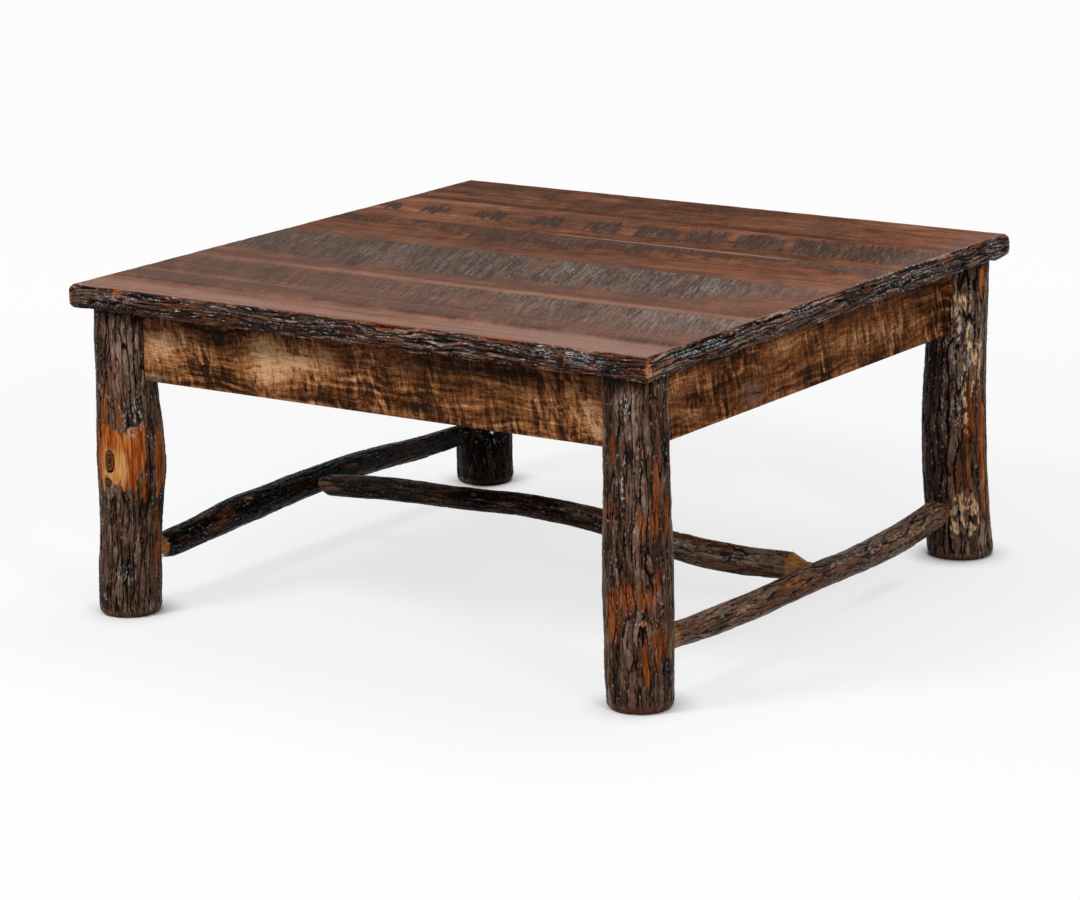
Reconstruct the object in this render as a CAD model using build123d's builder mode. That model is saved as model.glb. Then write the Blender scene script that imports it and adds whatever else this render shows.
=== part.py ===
from build123d import *
from math import sqrt
import os

# Rustic hickory coffee table, in millimetres. +Z is up, +X runs along the planks of the top, and the
# origin is on the floor under the middle of the top.

# Driving dimensions
table_height = 457.0  # 18 in
top_side = 914.4  # the sawn top face, 36 in square, planks and edge logs together
plank_thick = 28.6
plank_seams = (302.0, 151.0, 0.0, -200.0)  # from the back edge to the front

edge_log_height = 32.8
edge_log_sawn = 2.0  # sawn wood of the edge log that shows on the top face
edge_log_bulge = 8.0  # bark side, past the sawn top face
mitre_ease = 4.3  # what the sanded mitre corners keep of the bulge, measured along X and Y

apron_outer_face = 421.5  # from the middle of the table
apron_thick = 22.0
apron_bottom = 327.0
apron_tenon_thick = 10.0
apron_tenon_span = (368.0, 418.0)  # heights
apron_x_length = 389.5  # half lengths up to the shoulder, let 20 mm into the legs
apron_x_tenon_tip = 404.0
apron_y_length = 392.5
apron_y_tenon_tip = 407.0

leg_foot_x = 415.3
leg_foot_y = 418.6
leg_head_x = 409.5  # leg axis behind the aprons, after the legs' natural lean
leg_head_y = 412.5
foot_bevel_height = 6.5
foot_bevel_width = 4.0

stretcher_tenon_radius = 12.5
centre_tenon_radius = 9.0
fit_gap = 0.1  # round pins, tenons and screws in their holes

block_thick = 38.0  # corner blocks, sawn from a 2x4
block_leg_gap = 46.0  # leg axis to the block's outer face, along the diagonal
block_height = 90.0
lag_height = 350.0
lag_radius = 4.0
lag_past_axis = 10.0
washer_radius = 11.0
washer_thick = 2.0
lag_head_flats = 13.0
lag_head_thick = 5.5
block_screw_station = 333.0  # along each apron
block_screw_heights = (365.0, 405.0)
block_screw_seat = 385.0
block_bore_reach = 40.0  # of the bore for the screws' heads
lag_bore_length = 100.0
centre_socket_mouth = 330.0  # the centre pole's sockets are bored from here outwards

batten_x = 230.0
batten_width = 60.0
batten_thick = 20.0
batten_length = 790.0
batten_screw_pitch = 30.0
batten_screw_tip = 446.0
batten_chamfer = 3.0

dowel_radius = 5.0
dowel_length = 60.0
dowel_stations = (-380.0, -130.0, 130.0, 380.0)

bracket_width = 30.0
bracket_leg = 30.0
bracket_thick = 2.0
bracket_x = 110.0
bracket_y = (-100.0, 226.0)
bracket_hole = 19.0  # hole to the bend's outer face
bracket_screw_radius = 2.0
bracket_screw_length = 16.0
bracket_screw_head = 3.9
bracket_screw_head_thick = 2.4

nail_radius = 1.3
nail_head_radius = 2.4
nail_head_thick = 1.2
edge_nail_sink = 6.7  # nail heads are set this far below the crown of the bark
edge_nail_length = 36.0
edge_nail_stations = (-400.0, -200.0, 0.0, 200.0, 400.0)
tenon_nail_station = 390.0  # along the side poles
tenon_nail_reach = 34.0  # from the tenon's axis to the nail's seat
tenon_nail_length = 48.0
pole_nail_station = 414.0  # along the centre pole
pole_nail_drops = {"left": 17.0, "right": 18.0}  # from the centre pole's tenon down to the nail's seat
pole_nail_length = 30.0
head_bore_reach = 30.0  # the bore for a sunk head starts this far outside its seat

# Values worked out from them
plank_edge = top_side / 2 - edge_log_sawn
underside = table_height - plank_thick
bark_crown = top_side / 2 + edge_log_bulge
apron_inner_face = apron_outer_face - apron_thick
apron_middle = apron_outer_face - apron_thick / 2
plank_edges = (plank_edge, *plank_seams, -plank_edge)
plank_middles = [(back + front) / 2 for back, front in zip(plank_edges, plank_edges[1:])]
edge_log_middle = table_height - edge_log_height / 2
dowel_height = underside + plank_thick / 2
block_outer = leg_head_x + leg_head_y - block_leg_gap * sqrt(2)  # |x| + |y| on its outer face
block_inner = block_outer - block_thick * sqrt(2)

corners = {"left": (-1, -1), "front": (1, -1), "right": (1, 1), "back": (-1, 1)}
pole_corners = {"left": ("left", "back"), "right": ("front", "right")}  # the legs each side pole joins

# Natural shape of each leg log: height, lean towards the middle of the table, radius
leg_shapes = {
    "left": (
        (60, 2, 42.6), (120, 6, 42.0), (165, 8.5, 44.2), (205, 10, 47.0), (250, 10, 45.2),
        (300, 8.5, 41.9), (365, 8.5, 41.2), (underside, 10, 41.0),
    ),
    "front": (
        (60, 1.5, 43.6), (120, 3, 44.7), (180, 4.5, 44.2), (240, 6, 42.6), (310, 7, 41.6), (underside, 8, 40.4),
    ),
    "right": (
        (60, 8, 46.0), (120, 12, 45.6), (180, 14, 45.4), (240, 13.5, 44.5), (300, 12, 43.4),
        (365, 10, 43.0), (underside, 9, 42.5),
    ),
    "back": (
        (60, 1, 43.3), (120, 3, 43.4), (180, 5, 43.6), (240, 6, 43.4), (310, 7, 42.6), (underside, 8, 41.5),
    ),
}
foot_shapes = {"left": (0, 42.4), "front": (0, 42.8), "right": (3, 47.0), "back": (0, 43.3)}  # lean, radius

# Natural shape of the poles between the legs: x, y, z, radius where the bark begins and ends and between
stretcher_shapes = {
    "left": (
        (-413, -334, 75.5, 18.8), (-413, -289, 78.2, 19.2), (-414, -194, 85.6, 21.8), (-414, -94, 89.5, 21),
        (-414, -20, 92.4, 20), (-414, 146, 91.8, 17.8), (-413, 242, 86.5, 16.8), (-413, 345, 84, 15.6),
    ),
    "right": (
        (413, -334, 70, 16.8), (414, -246, 65.2, 17.9), (416, -103, 62.8, 17.7), (419, 5, 65.6, 18.4),
        (417, 92, 61.5, 18.2), (414, 190, 61, 19.5), (412, 293, 66.4, 19.9), (410, 345, 71.5, 19.2),
    ),
}
centre_stretcher_shape = (
    (-378, -15, 91.5, 15.6), (-297, -14, 98, 16.7), (-128, -12, 102.5, 15.8), (-31, -10, 105.5, 16.5),
    (87, -5, 97.5, 17.4), (200, 0, 78.5, 18.9), (293, 6, 70.8, 20), (377, 10, 72.8, 18.6),
)
side_necks = {"left": 373.0, "front": 372.0, "right": 365.0, "back": 372.0}  # shaved shoulder meets tenon
side_tenon_tip = 402.0
centre_neck = {"left": (-393.5, -15.0, 91.5), "right": (400.5, 10.0, 68.5)}
centre_tenon_tip = 424.0


def slab(x_range, y_range, z_range, mode=Mode.ADD):
    """A box between two heights, stated by its faces."""
    middle = [sum(span) / 2 for span in (x_range, y_range, z_range)]
    size = [abs(span[1] - span[0]) for span in (x_range, y_range, z_range)]
    with Locations(tuple(middle)):
        Box(*size, mode=mode)


def rod(start, end, radius, mode=Mode.ADD):
    """A round rod or hole from one point to another."""
    run = Vector(end) - Vector(start)
    with Locations(Plane(start, z_dir=run).location):
        Cylinder(radius, run.length, align=(Align.CENTER, Align.CENTER, Align.MIN), mode=mode)


def hex_head(seat, direction, flats, thick):
    """A bolt head that stands on its seat."""
    with BuildSketch(Plane(seat, z_dir=direction)) as hexagon:
        RegularPolygon(flats / sqrt(3), 6)
    extrude(hexagon.sketch, amount=thick)


def finish(piece, name):
    piece.label = name
    export_step(piece, f"parts/{name}.step")


os.makedirs("parts", exist_ok=True)

# Screws and nails, each as its head's seat, its direction and its length past the seat
batten_screws = [
    ((side * batten_x + step, middle, underside - batten_thick), (0, 0, 1))
    for side in (-1, 1)
    for middle in plank_middles
    for step in (-batten_screw_pitch / 2, batten_screw_pitch / 2)
]
batten_screw_radius = 2.2
batten_screw_head = 4.2
batten_screw_length = batten_screw_tip - (underside - batten_thick)

bracket_places = [
    ((x, side * apron_inner_face), (0, -side)) for side in (-1, 1) for x in (-bracket_x, bracket_x)
]
bracket_places += [((side * apron_inner_face, y), (-side, 0)) for side in (-1, 1) for y in bracket_y]
bracket_screws = []
for (x, y), (inward_x, inward_y) in bracket_places:
    up_seat = (x + inward_x * bracket_hole, y + inward_y * bracket_hole, underside - bracket_thick)
    side_seat = (x + inward_x * bracket_thick, y + inward_y * bracket_thick, underside - bracket_hole)
    bracket_screws += [(up_seat, (0, 0, 1)), (side_seat, (-inward_x, -inward_y, 0))]

block_screws = []
for sign_x, sign_y in corners.values():
    for height in block_screw_heights:
        block_screws.append(((sign_x * block_screw_station, sign_y * block_screw_seat, height), (0, sign_y, 0)))
        block_screws.append(((sign_x * block_screw_seat, sign_y * block_screw_station, height), (sign_x, 0, 0)))
block_screw_radius = 2.2
block_screw_head = 4.2
block_screw_head_thick = 3.0
block_screw_length = 28.0

edge_nails = []
for side in (-1, 1):
    seat = side * (bark_crown - edge_nail_sink)
    edge_nails += [((x, seat, edge_log_middle), (0, -side, 0)) for x in edge_nail_stations]
    edge_nails += [((seat, y, edge_log_middle), (-side, 0, 0)) for y in plank_middles]

# Nails that lock the stretchers' tenons, from the inner side of the legs and from under the side poles
tenon_nails = []
for name, (sign_x, sign_y) in corners.items():
    end = stretcher_shapes["left" if sign_x < 0 else "right"][0 if sign_y < 0 else -1]
    tenon_nails.append(((end[0] - sign_x * tenon_nail_reach, sign_y * tenon_nail_station, end[2]), (sign_x, 0, 0)))
for side, sign in (("left", -1), ("right", 1)):
    x, y, z = centre_neck[side]
    tenon_nails.append(((sign * pole_nail_station, y, z - pole_nail_drops[side]), (0, 0, 1)))
tenon_nail_lengths = [tenon_nail_length] * 4 + [pole_nail_length] * 2


def along(seat, direction, distance):
    return tuple(place + step * distance for place, step in zip(seat, direction))


def screw_holes(screws, length, radius):
    """Pilot and shank holes for a set of screws or nails, cut from the part being built."""
    for seat, direction in screws:
        rod(seat, along(seat, direction, length), radius + fit_gap, Mode.SUBTRACT)


# Planks of the top
for number, (back, front) in enumerate(zip(plank_edges, plank_edges[1:]), start=1):
    in_plank = [screw for screw in batten_screws + bracket_screws if front < screw[0][1] < back]
    with BuildPart() as plank:
        slab((-plank_edge, plank_edge), (front, back), (underside, table_height))
        for seam in (back, front):
            if seam in plank_seams:
                for x in dowel_stations:
                    rod(
                        (x, seam - dowel_length / 2, dowel_height),
                        (x, seam + dowel_length / 2, dowel_height),
                        dowel_radius + fit_gap,
                        Mode.SUBTRACT,
                    )
        screw_holes([s for s in in_plank if s in batten_screws], batten_screw_length, batten_screw_radius)
        lifted = [s for s in in_plank if s in bracket_screws and s[1][2] == 1]
        screw_holes(lifted, bracket_screw_length, bracket_screw_radius)
        for seat, direction in edge_nails:
            if front < seat[1] < back or (seat[1] > plank_edge and number == 1) or (
                seat[1] < -plank_edge and number == len(plank_middles)
            ):
                tip = along(seat, direction, edge_nail_length)
                rod(seat, tip, nail_radius + fit_gap, Mode.SUBTRACT)
    finish(plank.part, f"top_plank_{number}")

with BuildPart() as top_dowels:
    for seam in plank_seams:
        for x in dowel_stations:
            rod(
                (x, seam - dowel_length / 2, dowel_height),
                (x, seam + dowel_length / 2, dowel_height),
                dowel_radius,
            )
finish(top_dowels.part, "top_dowels")

# Half-round bark logs round the edge of the top, mitred at the corners
for name, turn in (("front", 0), ("right", 90), ("back", 180), ("left", 270)):
    with BuildPart() as edge_log:
        with BuildSketch(Plane.YZ):
            with BuildLine():
                crown = -bark_crown
                lip = -top_side / 2
                bottom = table_height - edge_log_height
                ThreePointArc((lip, table_height), (crown, edge_log_middle), (lip, bottom))
                Polyline((lip, bottom), (-plank_edge, bottom), (-plank_edge, table_height), (lip, table_height))
            make_face()
        extrude(amount=bark_crown, both=True)
        with BuildSketch(Plane.XY.offset(table_height - edge_log_height)):
            eased_x = top_side + 2 * mitre_ease - bark_crown  # where the eased corner meets the crown line
            eased_corner = top_side / 2 + mitre_ease
            with BuildLine():
                Polyline(
                    (-plank_edge, -plank_edge),
                    (-eased_corner, -eased_corner),
                    (-eased_x, -bark_crown),
                    (eased_x, -bark_crown),
                    (eased_corner, -eased_corner),
                    (plank_edge, -plank_edge),
                    close=True,
                )
            make_face()
        extrude(amount=edge_log_height, mode=Mode.INTERSECT)
        stations = edge_nail_stations
        if name in ("left", "right"):
            stations = [y if name == "right" else -y for y in plank_middles]
        for x in stations:
            outside = (x, -bark_crown, edge_log_middle)
            head_seat = (x, -bark_crown + edge_nail_sink + nail_head_thick, edge_log_middle)
            rod(outside, head_seat, nail_head_radius + fit_gap, Mode.SUBTRACT)
            rod(outside, (x, -plank_edge, edge_log_middle), nail_radius + fit_gap, Mode.SUBTRACT)
    finish(edge_log.part.rotate(Axis.Z, turn), f"edge_log_{name}")

# Battens under the planks
for name, side in (("left", -1), ("right", 1)):
    with BuildPart() as batten:
        slab(
            (side * batten_x - batten_width / 2, side * batten_x + batten_width / 2),
            (-batten_length / 2, batten_length / 2),
            (underside - batten_thick, underside),
        )
        chamfer(batten.faces().sort_by(Axis.Z)[0].edges(), batten_chamfer)
        under_batten = [screw for screw in batten_screws if screw[0][0] * side > 0]
        screw_holes(under_batten, batten_screw_length, batten_screw_radius)
        for seat, direction in under_batten:
            recess = along(seat, direction, batten_screw_head - batten_screw_radius)
            with Locations(Plane(seat, z_dir=direction).location):
                Cone(
                    batten_screw_head,
                    batten_screw_radius,
                    recess[2] - seat[2],
                    align=(Align.CENTER, Align.CENTER, Align.MIN),
                    mode=Mode.SUBTRACT,
                )
    finish(batten.part, f"batten_{name}")

with BuildPart() as batten_screw_set:
    for seat, direction in batten_screws:
        rod(seat, along(seat, direction, batten_screw_length), batten_screw_radius)
        with Locations(Plane(seat, z_dir=direction).location):
            Cone(
                batten_screw_head,
                batten_screw_radius,
                batten_screw_head - batten_screw_radius,
                align=(Align.CENTER, Align.CENTER, Align.MIN),
            )
finish(batten_screw_set.part, "batten_screws")

# Apron boards, with a tenon at each end
for name, sign in (("front", -1), ("back", 1)):
    with BuildPart() as apron:
        board_y = (sign * apron_inner_face, sign * apron_outer_face)
        tenon_y = (apron_middle * sign - apron_tenon_thick / 2, apron_middle * sign + apron_tenon_thick / 2)
        slab((-apron_x_length, apron_x_length), board_y, (apron_bottom, underside))
        slab((-apron_x_tenon_tip, apron_x_tenon_tip), tenon_y, apron_tenon_span)
        screws_here = [s for s in block_screws if s[1][1] == sign]
        screw_holes(screws_here, block_screw_length, block_screw_radius)
        screws_here = [s for s in bracket_screws if s[1][1] == sign]
        screw_holes(screws_here, bracket_screw_length, bracket_screw_radius)
    finish(apron.part, f"apron_{name}")

for name, sign in (("left", -1), ("right", 1)):
    with BuildPart() as apron:
        board_x = (sign * apron_inner_face, sign * apron_outer_face)
        tenon_x = (apron_middle * sign - apron_tenon_thick / 2, apron_middle * sign + apron_tenon_thick / 2)
        slab(board_x, (-apron_y_length, apron_y_length), (apron_bottom, underside))
        slab(tenon_x, (-apron_y_tenon_tip, apron_y_tenon_tip), apron_tenon_span)
        screws_here = [s for s in block_screws if s[1][0] == sign]
        screw_holes(screws_here, block_screw_length, block_screw_radius)
        screws_here = [s for s in bracket_screws if s[1][0] == sign]
        screw_holes(screws_here, bracket_screw_length, bracket_screw_radius)
    finish(apron.part, f"apron_{name}")

# Legs: bark-on logs, housed for the apron ends and bored for the stretcher tenons and lag bolts
for name, (sign_x, sign_y) in corners.items():
    foot = (sign_x * leg_foot_x, sign_y * leg_foot_y)
    inward = (-sign_x / sqrt(2), -sign_y / sqrt(2))
    foot_lean, foot_radius = foot_shapes[name]
    ankle = (foot_bevel_height, foot_lean, foot_radius)
    with BuildPart() as leg:
        for sections, straight in (
            (((0, foot_lean, foot_radius - foot_bevel_width), ankle), True),
            ((ankle, *leg_shapes[name]), False),
        ):
            for height, lean, radius in sections:
                with BuildSketch(Plane((foot[0] + inward[0] * lean, foot[1] + inward[1] * lean, height))):
                    Circle(radius)
            loft(ruled=straight)
        # housings as wide as the apron boards, and the mortises behind them
        board_x = (sign_x * apron_inner_face, sign_x * apron_outer_face)
        board_y = (sign_y * apron_inner_face, sign_y * apron_outer_face)
        slab((sign_x * apron_x_length, 0), board_y, (apron_bottom, underside), Mode.SUBTRACT)
        slab(board_x, (sign_y * apron_y_length, 0), (apron_bottom, underside), Mode.SUBTRACT)
        tenon_reach = apron_tenon_thick / 2
        slab(
            (sign_x * apron_x_tenon_tip, sign_x * apron_x_length),
            (sign_y * apron_middle - tenon_reach, sign_y * apron_middle + tenon_reach),
            apron_tenon_span,
            Mode.SUBTRACT,
        )
        slab(
            (sign_x * apron_middle - tenon_reach, sign_x * apron_middle + tenon_reach),
            (sign_y * apron_y_tenon_tip, sign_y * apron_y_length),
            apron_tenon_span,
            Mode.SUBTRACT,
        )
        lag_tip = (
            sign_x * leg_head_x - inward[0] * lag_past_axis,
            sign_y * leg_head_y - inward[1] * lag_past_axis,
            lag_height,
        )
        rod(lag_tip, along(lag_tip, (*inward, 0), lag_bore_length), lag_radius + fit_gap, Mode.SUBTRACT)
        end = stretcher_shapes["left" if sign_x < 0 else "right"][0 if sign_y < 0 else -1]
        socket_mouth = (end[0], sign_y * side_necks[name] / 2, end[2])
        socket_floor = (end[0], sign_y * side_tenon_tip, end[2])
        rod(socket_floor, socket_mouth, stretcher_tenon_radius + fit_gap, Mode.SUBTRACT)
        for (seat, direction), length in zip(tenon_nails, tenon_nail_lengths):
            if seat[0] * sign_x > 0 and seat[1] * sign_y > side_necks[name]:
                rod(seat, along(seat, direction, length), nail_radius + fit_gap, Mode.SUBTRACT)
                outside = along(seat, direction, -head_bore_reach)
                rod(outside, along(seat, direction, nail_head_thick), nail_head_radius + fit_gap, Mode.SUBTRACT)
    finish(leg.part, f"leg_{name}")

# Side stretchers: bark-on poles, shaved down to round tenons
for name, shape in stretcher_shapes.items():
    neck_x, neck_y, neck_z = centre_neck[name]
    side = -1 if name == "left" else 1
    with BuildPart() as pole:
        for x, y, z, radius in shape:
            with BuildSketch(Plane((x, y, z), x_dir=(1, 0, 0), z_dir=(0, 1, 0))):
                Circle(radius)
        loft()
        for (x, y, z, radius), corner in ((shape[0], pole_corners[name][0]), (shape[-1], pole_corners[name][1])):
            sign = corners[corner][1]
            neck = (x, sign * side_necks[corner], z)
            with BuildSketch(Plane((x, y, z), x_dir=(1, 0, 0), z_dir=(0, 1, 0))):
                Circle(radius)
            with BuildSketch(Plane(neck, x_dir=(1, 0, 0), z_dir=(0, 1, 0))):
                Circle(stretcher_tenon_radius)
            loft(ruled=True)
            rod(neck, (x, sign * side_tenon_tip, z), stretcher_tenon_radius)
        socket_floor = (side * centre_tenon_tip, neck_y, neck_z)
        rod(socket_floor, (side * centre_socket_mouth, neck_y, neck_z), centre_tenon_radius + fit_gap, Mode.SUBTRACT)
        for (seat, direction), length in zip(tenon_nails, tenon_nail_lengths):
            if seat[0] * side > 0:
                rod(seat, along(seat, direction, length), nail_radius + fit_gap, Mode.SUBTRACT)
                if direction[2] == 1:
                    outside = along(seat, direction, -head_bore_reach)
                    seat_face = along(seat, direction, nail_head_thick)
                    rod(outside, seat_face, nail_head_radius + fit_gap, Mode.SUBTRACT)
    finish(pole.part, f"side_stretcher_{name}")

# Centre stretcher: an arched pole tenoned into the side stretchers
with BuildPart() as centre_stretcher:
    for x, y, z, radius in centre_stretcher_shape:
        with BuildSketch(Plane((x, y, z), x_dir=(0, 1, 0), z_dir=(1, 0, 0))):
            Circle(radius)
    loft()
    for side, sign, (x, y, z, radius) in (
        ("left", -1, centre_stretcher_shape[0]),
        ("right", 1, centre_stretcher_shape[-1]),
    ):
        neck = centre_neck[side]
        with BuildSketch(Plane((x, y, z), x_dir=(0, 1, 0), z_dir=(1, 0, 0))):
            Circle(radius)
        with BuildSketch(Plane(neck, x_dir=(0, 1, 0), z_dir=(1, 0, 0))):
            Circle(centre_tenon_radius)
        loft(ruled=True)
        rod(neck, (sign * centre_tenon_tip, neck[1], neck[2]), centre_tenon_radius)
    for (seat, direction), length in zip(tenon_nails, tenon_nail_lengths):
        if direction[2] == 1:
            rod(seat, along(seat, direction, length), nail_radius + fit_gap, Mode.SUBTRACT)
finish(centre_stretcher.part, "centre_stretcher")

# Corner blocks behind the legs
lag_bolts = []
for name, (sign_x, sign_y) in corners.items():
    inward = (-sign_x / sqrt(2), -sign_y / sqrt(2), 0)
    axis_point = (sign_x * leg_head_x, sign_y * leg_head_y, lag_height)
    inner_face = along(axis_point, inward, block_leg_gap + block_thick)
    lag_bolts.append((along(axis_point, inward, -lag_past_axis), inner_face, inward))
    with BuildPart() as block:
        with BuildSketch(Plane.XY.offset(underside - block_height)):
            with BuildLine():
                Polyline(
                    (sign_x * (block_outer - apron_inner_face), sign_y * apron_inner_face),
                    (sign_x * (block_inner - apron_inner_face), sign_y * apron_inner_face),
                    (sign_x * apron_inner_face, sign_y * (block_inner - apron_inner_face)),
                    (sign_x * apron_inner_face, sign_y * (block_outer - apron_inner_face)),
                    close=True,
                )
            make_face()
        extrude(amount=block_height)
        rod(axis_point, inner_face, lag_radius + fit_gap, Mode.SUBTRACT)
        for seat, direction in block_screws:
            if seat[0] * sign_x > 0 and seat[1] * sign_y > 0:
                rod(seat, along(seat, direction, block_screw_length), block_screw_radius + fit_gap, Mode.SUBTRACT)
                head_top = along(seat, direction, -block_bore_reach)
                rod(seat, head_top, block_screw_head + 2 * fit_gap, Mode.SUBTRACT)
    finish(block.part, f"corner_block_{name}")

with BuildPart() as block_screw_set:
    for seat, direction in block_screws:
        rod(seat, along(seat, direction, block_screw_length), block_screw_radius)
        rod(seat, along(seat, direction, -block_screw_head_thick), block_screw_head)
finish(block_screw_set.part, "corner_block_screws")

with BuildPart() as lag_bolt_set:
    for tip, face, inward in lag_bolts:
        head_seat = along(face, inward, washer_thick)
        rod(tip, head_seat, lag_radius)
        hex_head(head_seat, inward, lag_head_flats, lag_head_thick)
finish(lag_bolt_set.part, "leg_lag_bolts")

with BuildPart() as washer_set:
    for tip, face, inward in lag_bolts:
        rod(face, along(face, inward, washer_thick), washer_radius)
        rod(tip, along(face, inward, washer_thick), lag_radius + fit_gap, Mode.SUBTRACT)
finish(washer_set.part, "leg_bolt_washers")

# Steel angle brackets that hold the top down on the aprons
with BuildPart() as bracket_set:
    for (x, y), (inward_x, inward_y) in bracket_places:
        half_width = (abs(inward_y) * bracket_width / 2, abs(inward_x) * bracket_width / 2)
        for reach, bottom in ((bracket_thick, underside - bracket_leg), (bracket_leg, underside - bracket_thick)):
            slab(
                (x - half_width[0], x + half_width[0] + inward_x * reach),
                (y - half_width[1], y + half_width[1] + inward_y * reach),
                (bottom, underside),
            )
    for seat, direction in bracket_screws:
        behind = along(seat, direction, bracket_thick)
        rod(seat, behind, bracket_screw_radius + fit_gap, Mode.SUBTRACT)
finish(bracket_set.part, "top_brackets")

with BuildPart() as bracket_screw_set:
    for seat, direction in bracket_screws:
        rod(seat, along(seat, direction, bracket_screw_length), bracket_screw_radius)
        rod(along(seat, direction, -bracket_screw_head_thick), seat, bracket_screw_head)
finish(bracket_screw_set.part, "bracket_screws")

# Nails
with BuildPart() as edge_nail_set:
    for seat, direction in edge_nails:
        rod(seat, along(seat, direction, edge_nail_length), nail_radius)
        rod(seat, along(seat, direction, nail_head_thick), nail_head_radius)
finish(edge_nail_set.part, "edge_nails")

with BuildPart() as tenon_nail_set:
    for (seat, direction), length in zip(tenon_nails, tenon_nail_lengths):
        rod(seat, along(seat, direction, length), nail_radius)
        rod(seat, along(seat, direction, nail_head_thick), nail_head_radius)
finish(tenon_nail_set.part, "stretcher_nails")
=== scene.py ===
import math
from types import SimpleNamespace

import bpy
import numpy as np
from mathutils import Matrix, Vector


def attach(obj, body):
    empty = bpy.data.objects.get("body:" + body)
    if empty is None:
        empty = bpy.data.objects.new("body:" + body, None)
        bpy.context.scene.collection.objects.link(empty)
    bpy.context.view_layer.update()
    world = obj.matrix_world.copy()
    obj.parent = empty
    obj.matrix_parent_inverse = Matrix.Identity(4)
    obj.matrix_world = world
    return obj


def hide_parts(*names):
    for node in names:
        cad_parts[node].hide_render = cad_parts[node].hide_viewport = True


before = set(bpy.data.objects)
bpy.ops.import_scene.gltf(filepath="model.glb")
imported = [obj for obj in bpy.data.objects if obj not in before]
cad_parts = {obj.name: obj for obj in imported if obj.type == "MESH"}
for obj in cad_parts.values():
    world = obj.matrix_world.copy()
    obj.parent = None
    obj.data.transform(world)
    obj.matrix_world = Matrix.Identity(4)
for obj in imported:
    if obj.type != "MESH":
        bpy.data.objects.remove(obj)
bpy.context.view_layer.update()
mm = 0.001
print("frame loaded,", len(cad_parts), "nodes")


def ease(x, low, high):
    # 0 up to low, 1 from high on, and a smooth step between; with low above high it falls instead
    t = np.clip((x - low) / (high - low), 0.0, 1.0)
    return t * t * (3.0 - 2.0 * t)


patternRows = 61  # a pattern repeats along a log only after this many cells


def noise(a, b, wrap, seed):
    # seeded numbers from -1 to 1 on a lattice, blended by a smooth step and repeated after wrap cells of a
    table = np.random.default_rng(seed).uniform(-1.0, 1.0, (wrap, patternRows))
    i, j = np.floor(a).astype(int), np.floor(b).astype(int)
    s, t = ease(a - i, 0.0, 1.0), ease(b - j, 0.0, 1.0)
    i0, i1, j0, j1 = i % wrap, (i + 1) % wrap, j % patternRows, (j + 1) % patternRows
    low = table[i0, j0] * (1.0 - t) + table[i0, j1] * t
    high = table[i1, j0] * (1.0 - t) + table[i1, j1] * t
    return low * (1.0 - s) + high * s


def fractal(a, b, wrap, seed, octaves=4):
    # noise added to itself at half the size and half the strength, over and over
    total = sum(noise(a * 2 ** k, b * 2 ** k, wrap * 2 ** k, seed + k) * 0.5 ** k for k in range(octaves))
    return total / (2.0 - 0.5 ** (octaves - 1))


def plates(a, b, wrap, seed):
    # every lattice cell holds one seeded point, odd columns half a cell further on; the result is how much
    # further the second nearest point is than the nearest, the nearest one's own number, how far the two lie
    # side by side rather than one beyond the other, and the place along the nearest one
    table = np.random.default_rng(seed).uniform(0.0, 1.0, (wrap, patternRows, 3))
    i, j = np.floor(a).astype(int), np.floor(b).astype(int)
    first, second = np.full(a.shape, 9.0), np.full(a.shape, 9.0)
    own, firstA, firstB, secondA, secondB = (np.zeros(a.shape) for _ in range(5))
    for di in (-1, 0, 1):
        for dj in (-2, -1, 0, 1, 2):
            cell = table[(i + di) % wrap, (j + dj) % patternRows]
            da = i + di + 0.5 + 0.75 * (cell[..., 0] - 0.5) - a
            db = j + dj + 0.5 * ((i + di) % 2) + 0.8 * (cell[..., 1] - 0.5) + 0.25 - b
            away = np.hypot(da, db)
            nearest, nearer = away < first, away < second
            secondA = np.where(nearest, firstA, np.where(nearer, da, secondA))
            secondB = np.where(nearest, firstB, np.where(nearer, db, secondB))
            second = np.where(nearest, first, np.minimum(second, away))
            own = np.where(nearest, cell[..., 2], own)
            firstA, firstB = np.where(nearest, da, firstA), np.where(nearest, db, firstB)
            first = np.where(nearest, away, first)
    beside = np.abs(secondA - firstA) / np.hypot(secondA - firstA, secondB - firstB)
    return second - first, own, beside, -firstB


def smoothAlong(knots, x):
    # a smooth curve through knots of (x, value, ...): a cubic between each two, with the chord over both
    # neighbours as its slope at a knot
    knots = np.array(knots, float)
    at, values = knots[:, 0], knots[:, 1:]
    slope = np.gradient(values, at, axis=0)
    x = np.clip(x, at[0], at[-1])
    k = np.clip(np.searchsorted(at, x, side="right") - 1, 0, len(at) - 2)
    span = (at[k + 1] - at[k])[..., None]
    t = (x - at[k])[..., None] / span
    stay = 2 * t ** 3 - 3 * t ** 2 + 1
    leaving, arriving = t ** 3 - 2 * t ** 2 + t, t ** 3 - t ** 2
    curve = stay * values[k] + leaving * span * slope[k]
    return curve + (1 - stay) * values[k + 1] + arriving * span * slope[k + 1]


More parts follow.
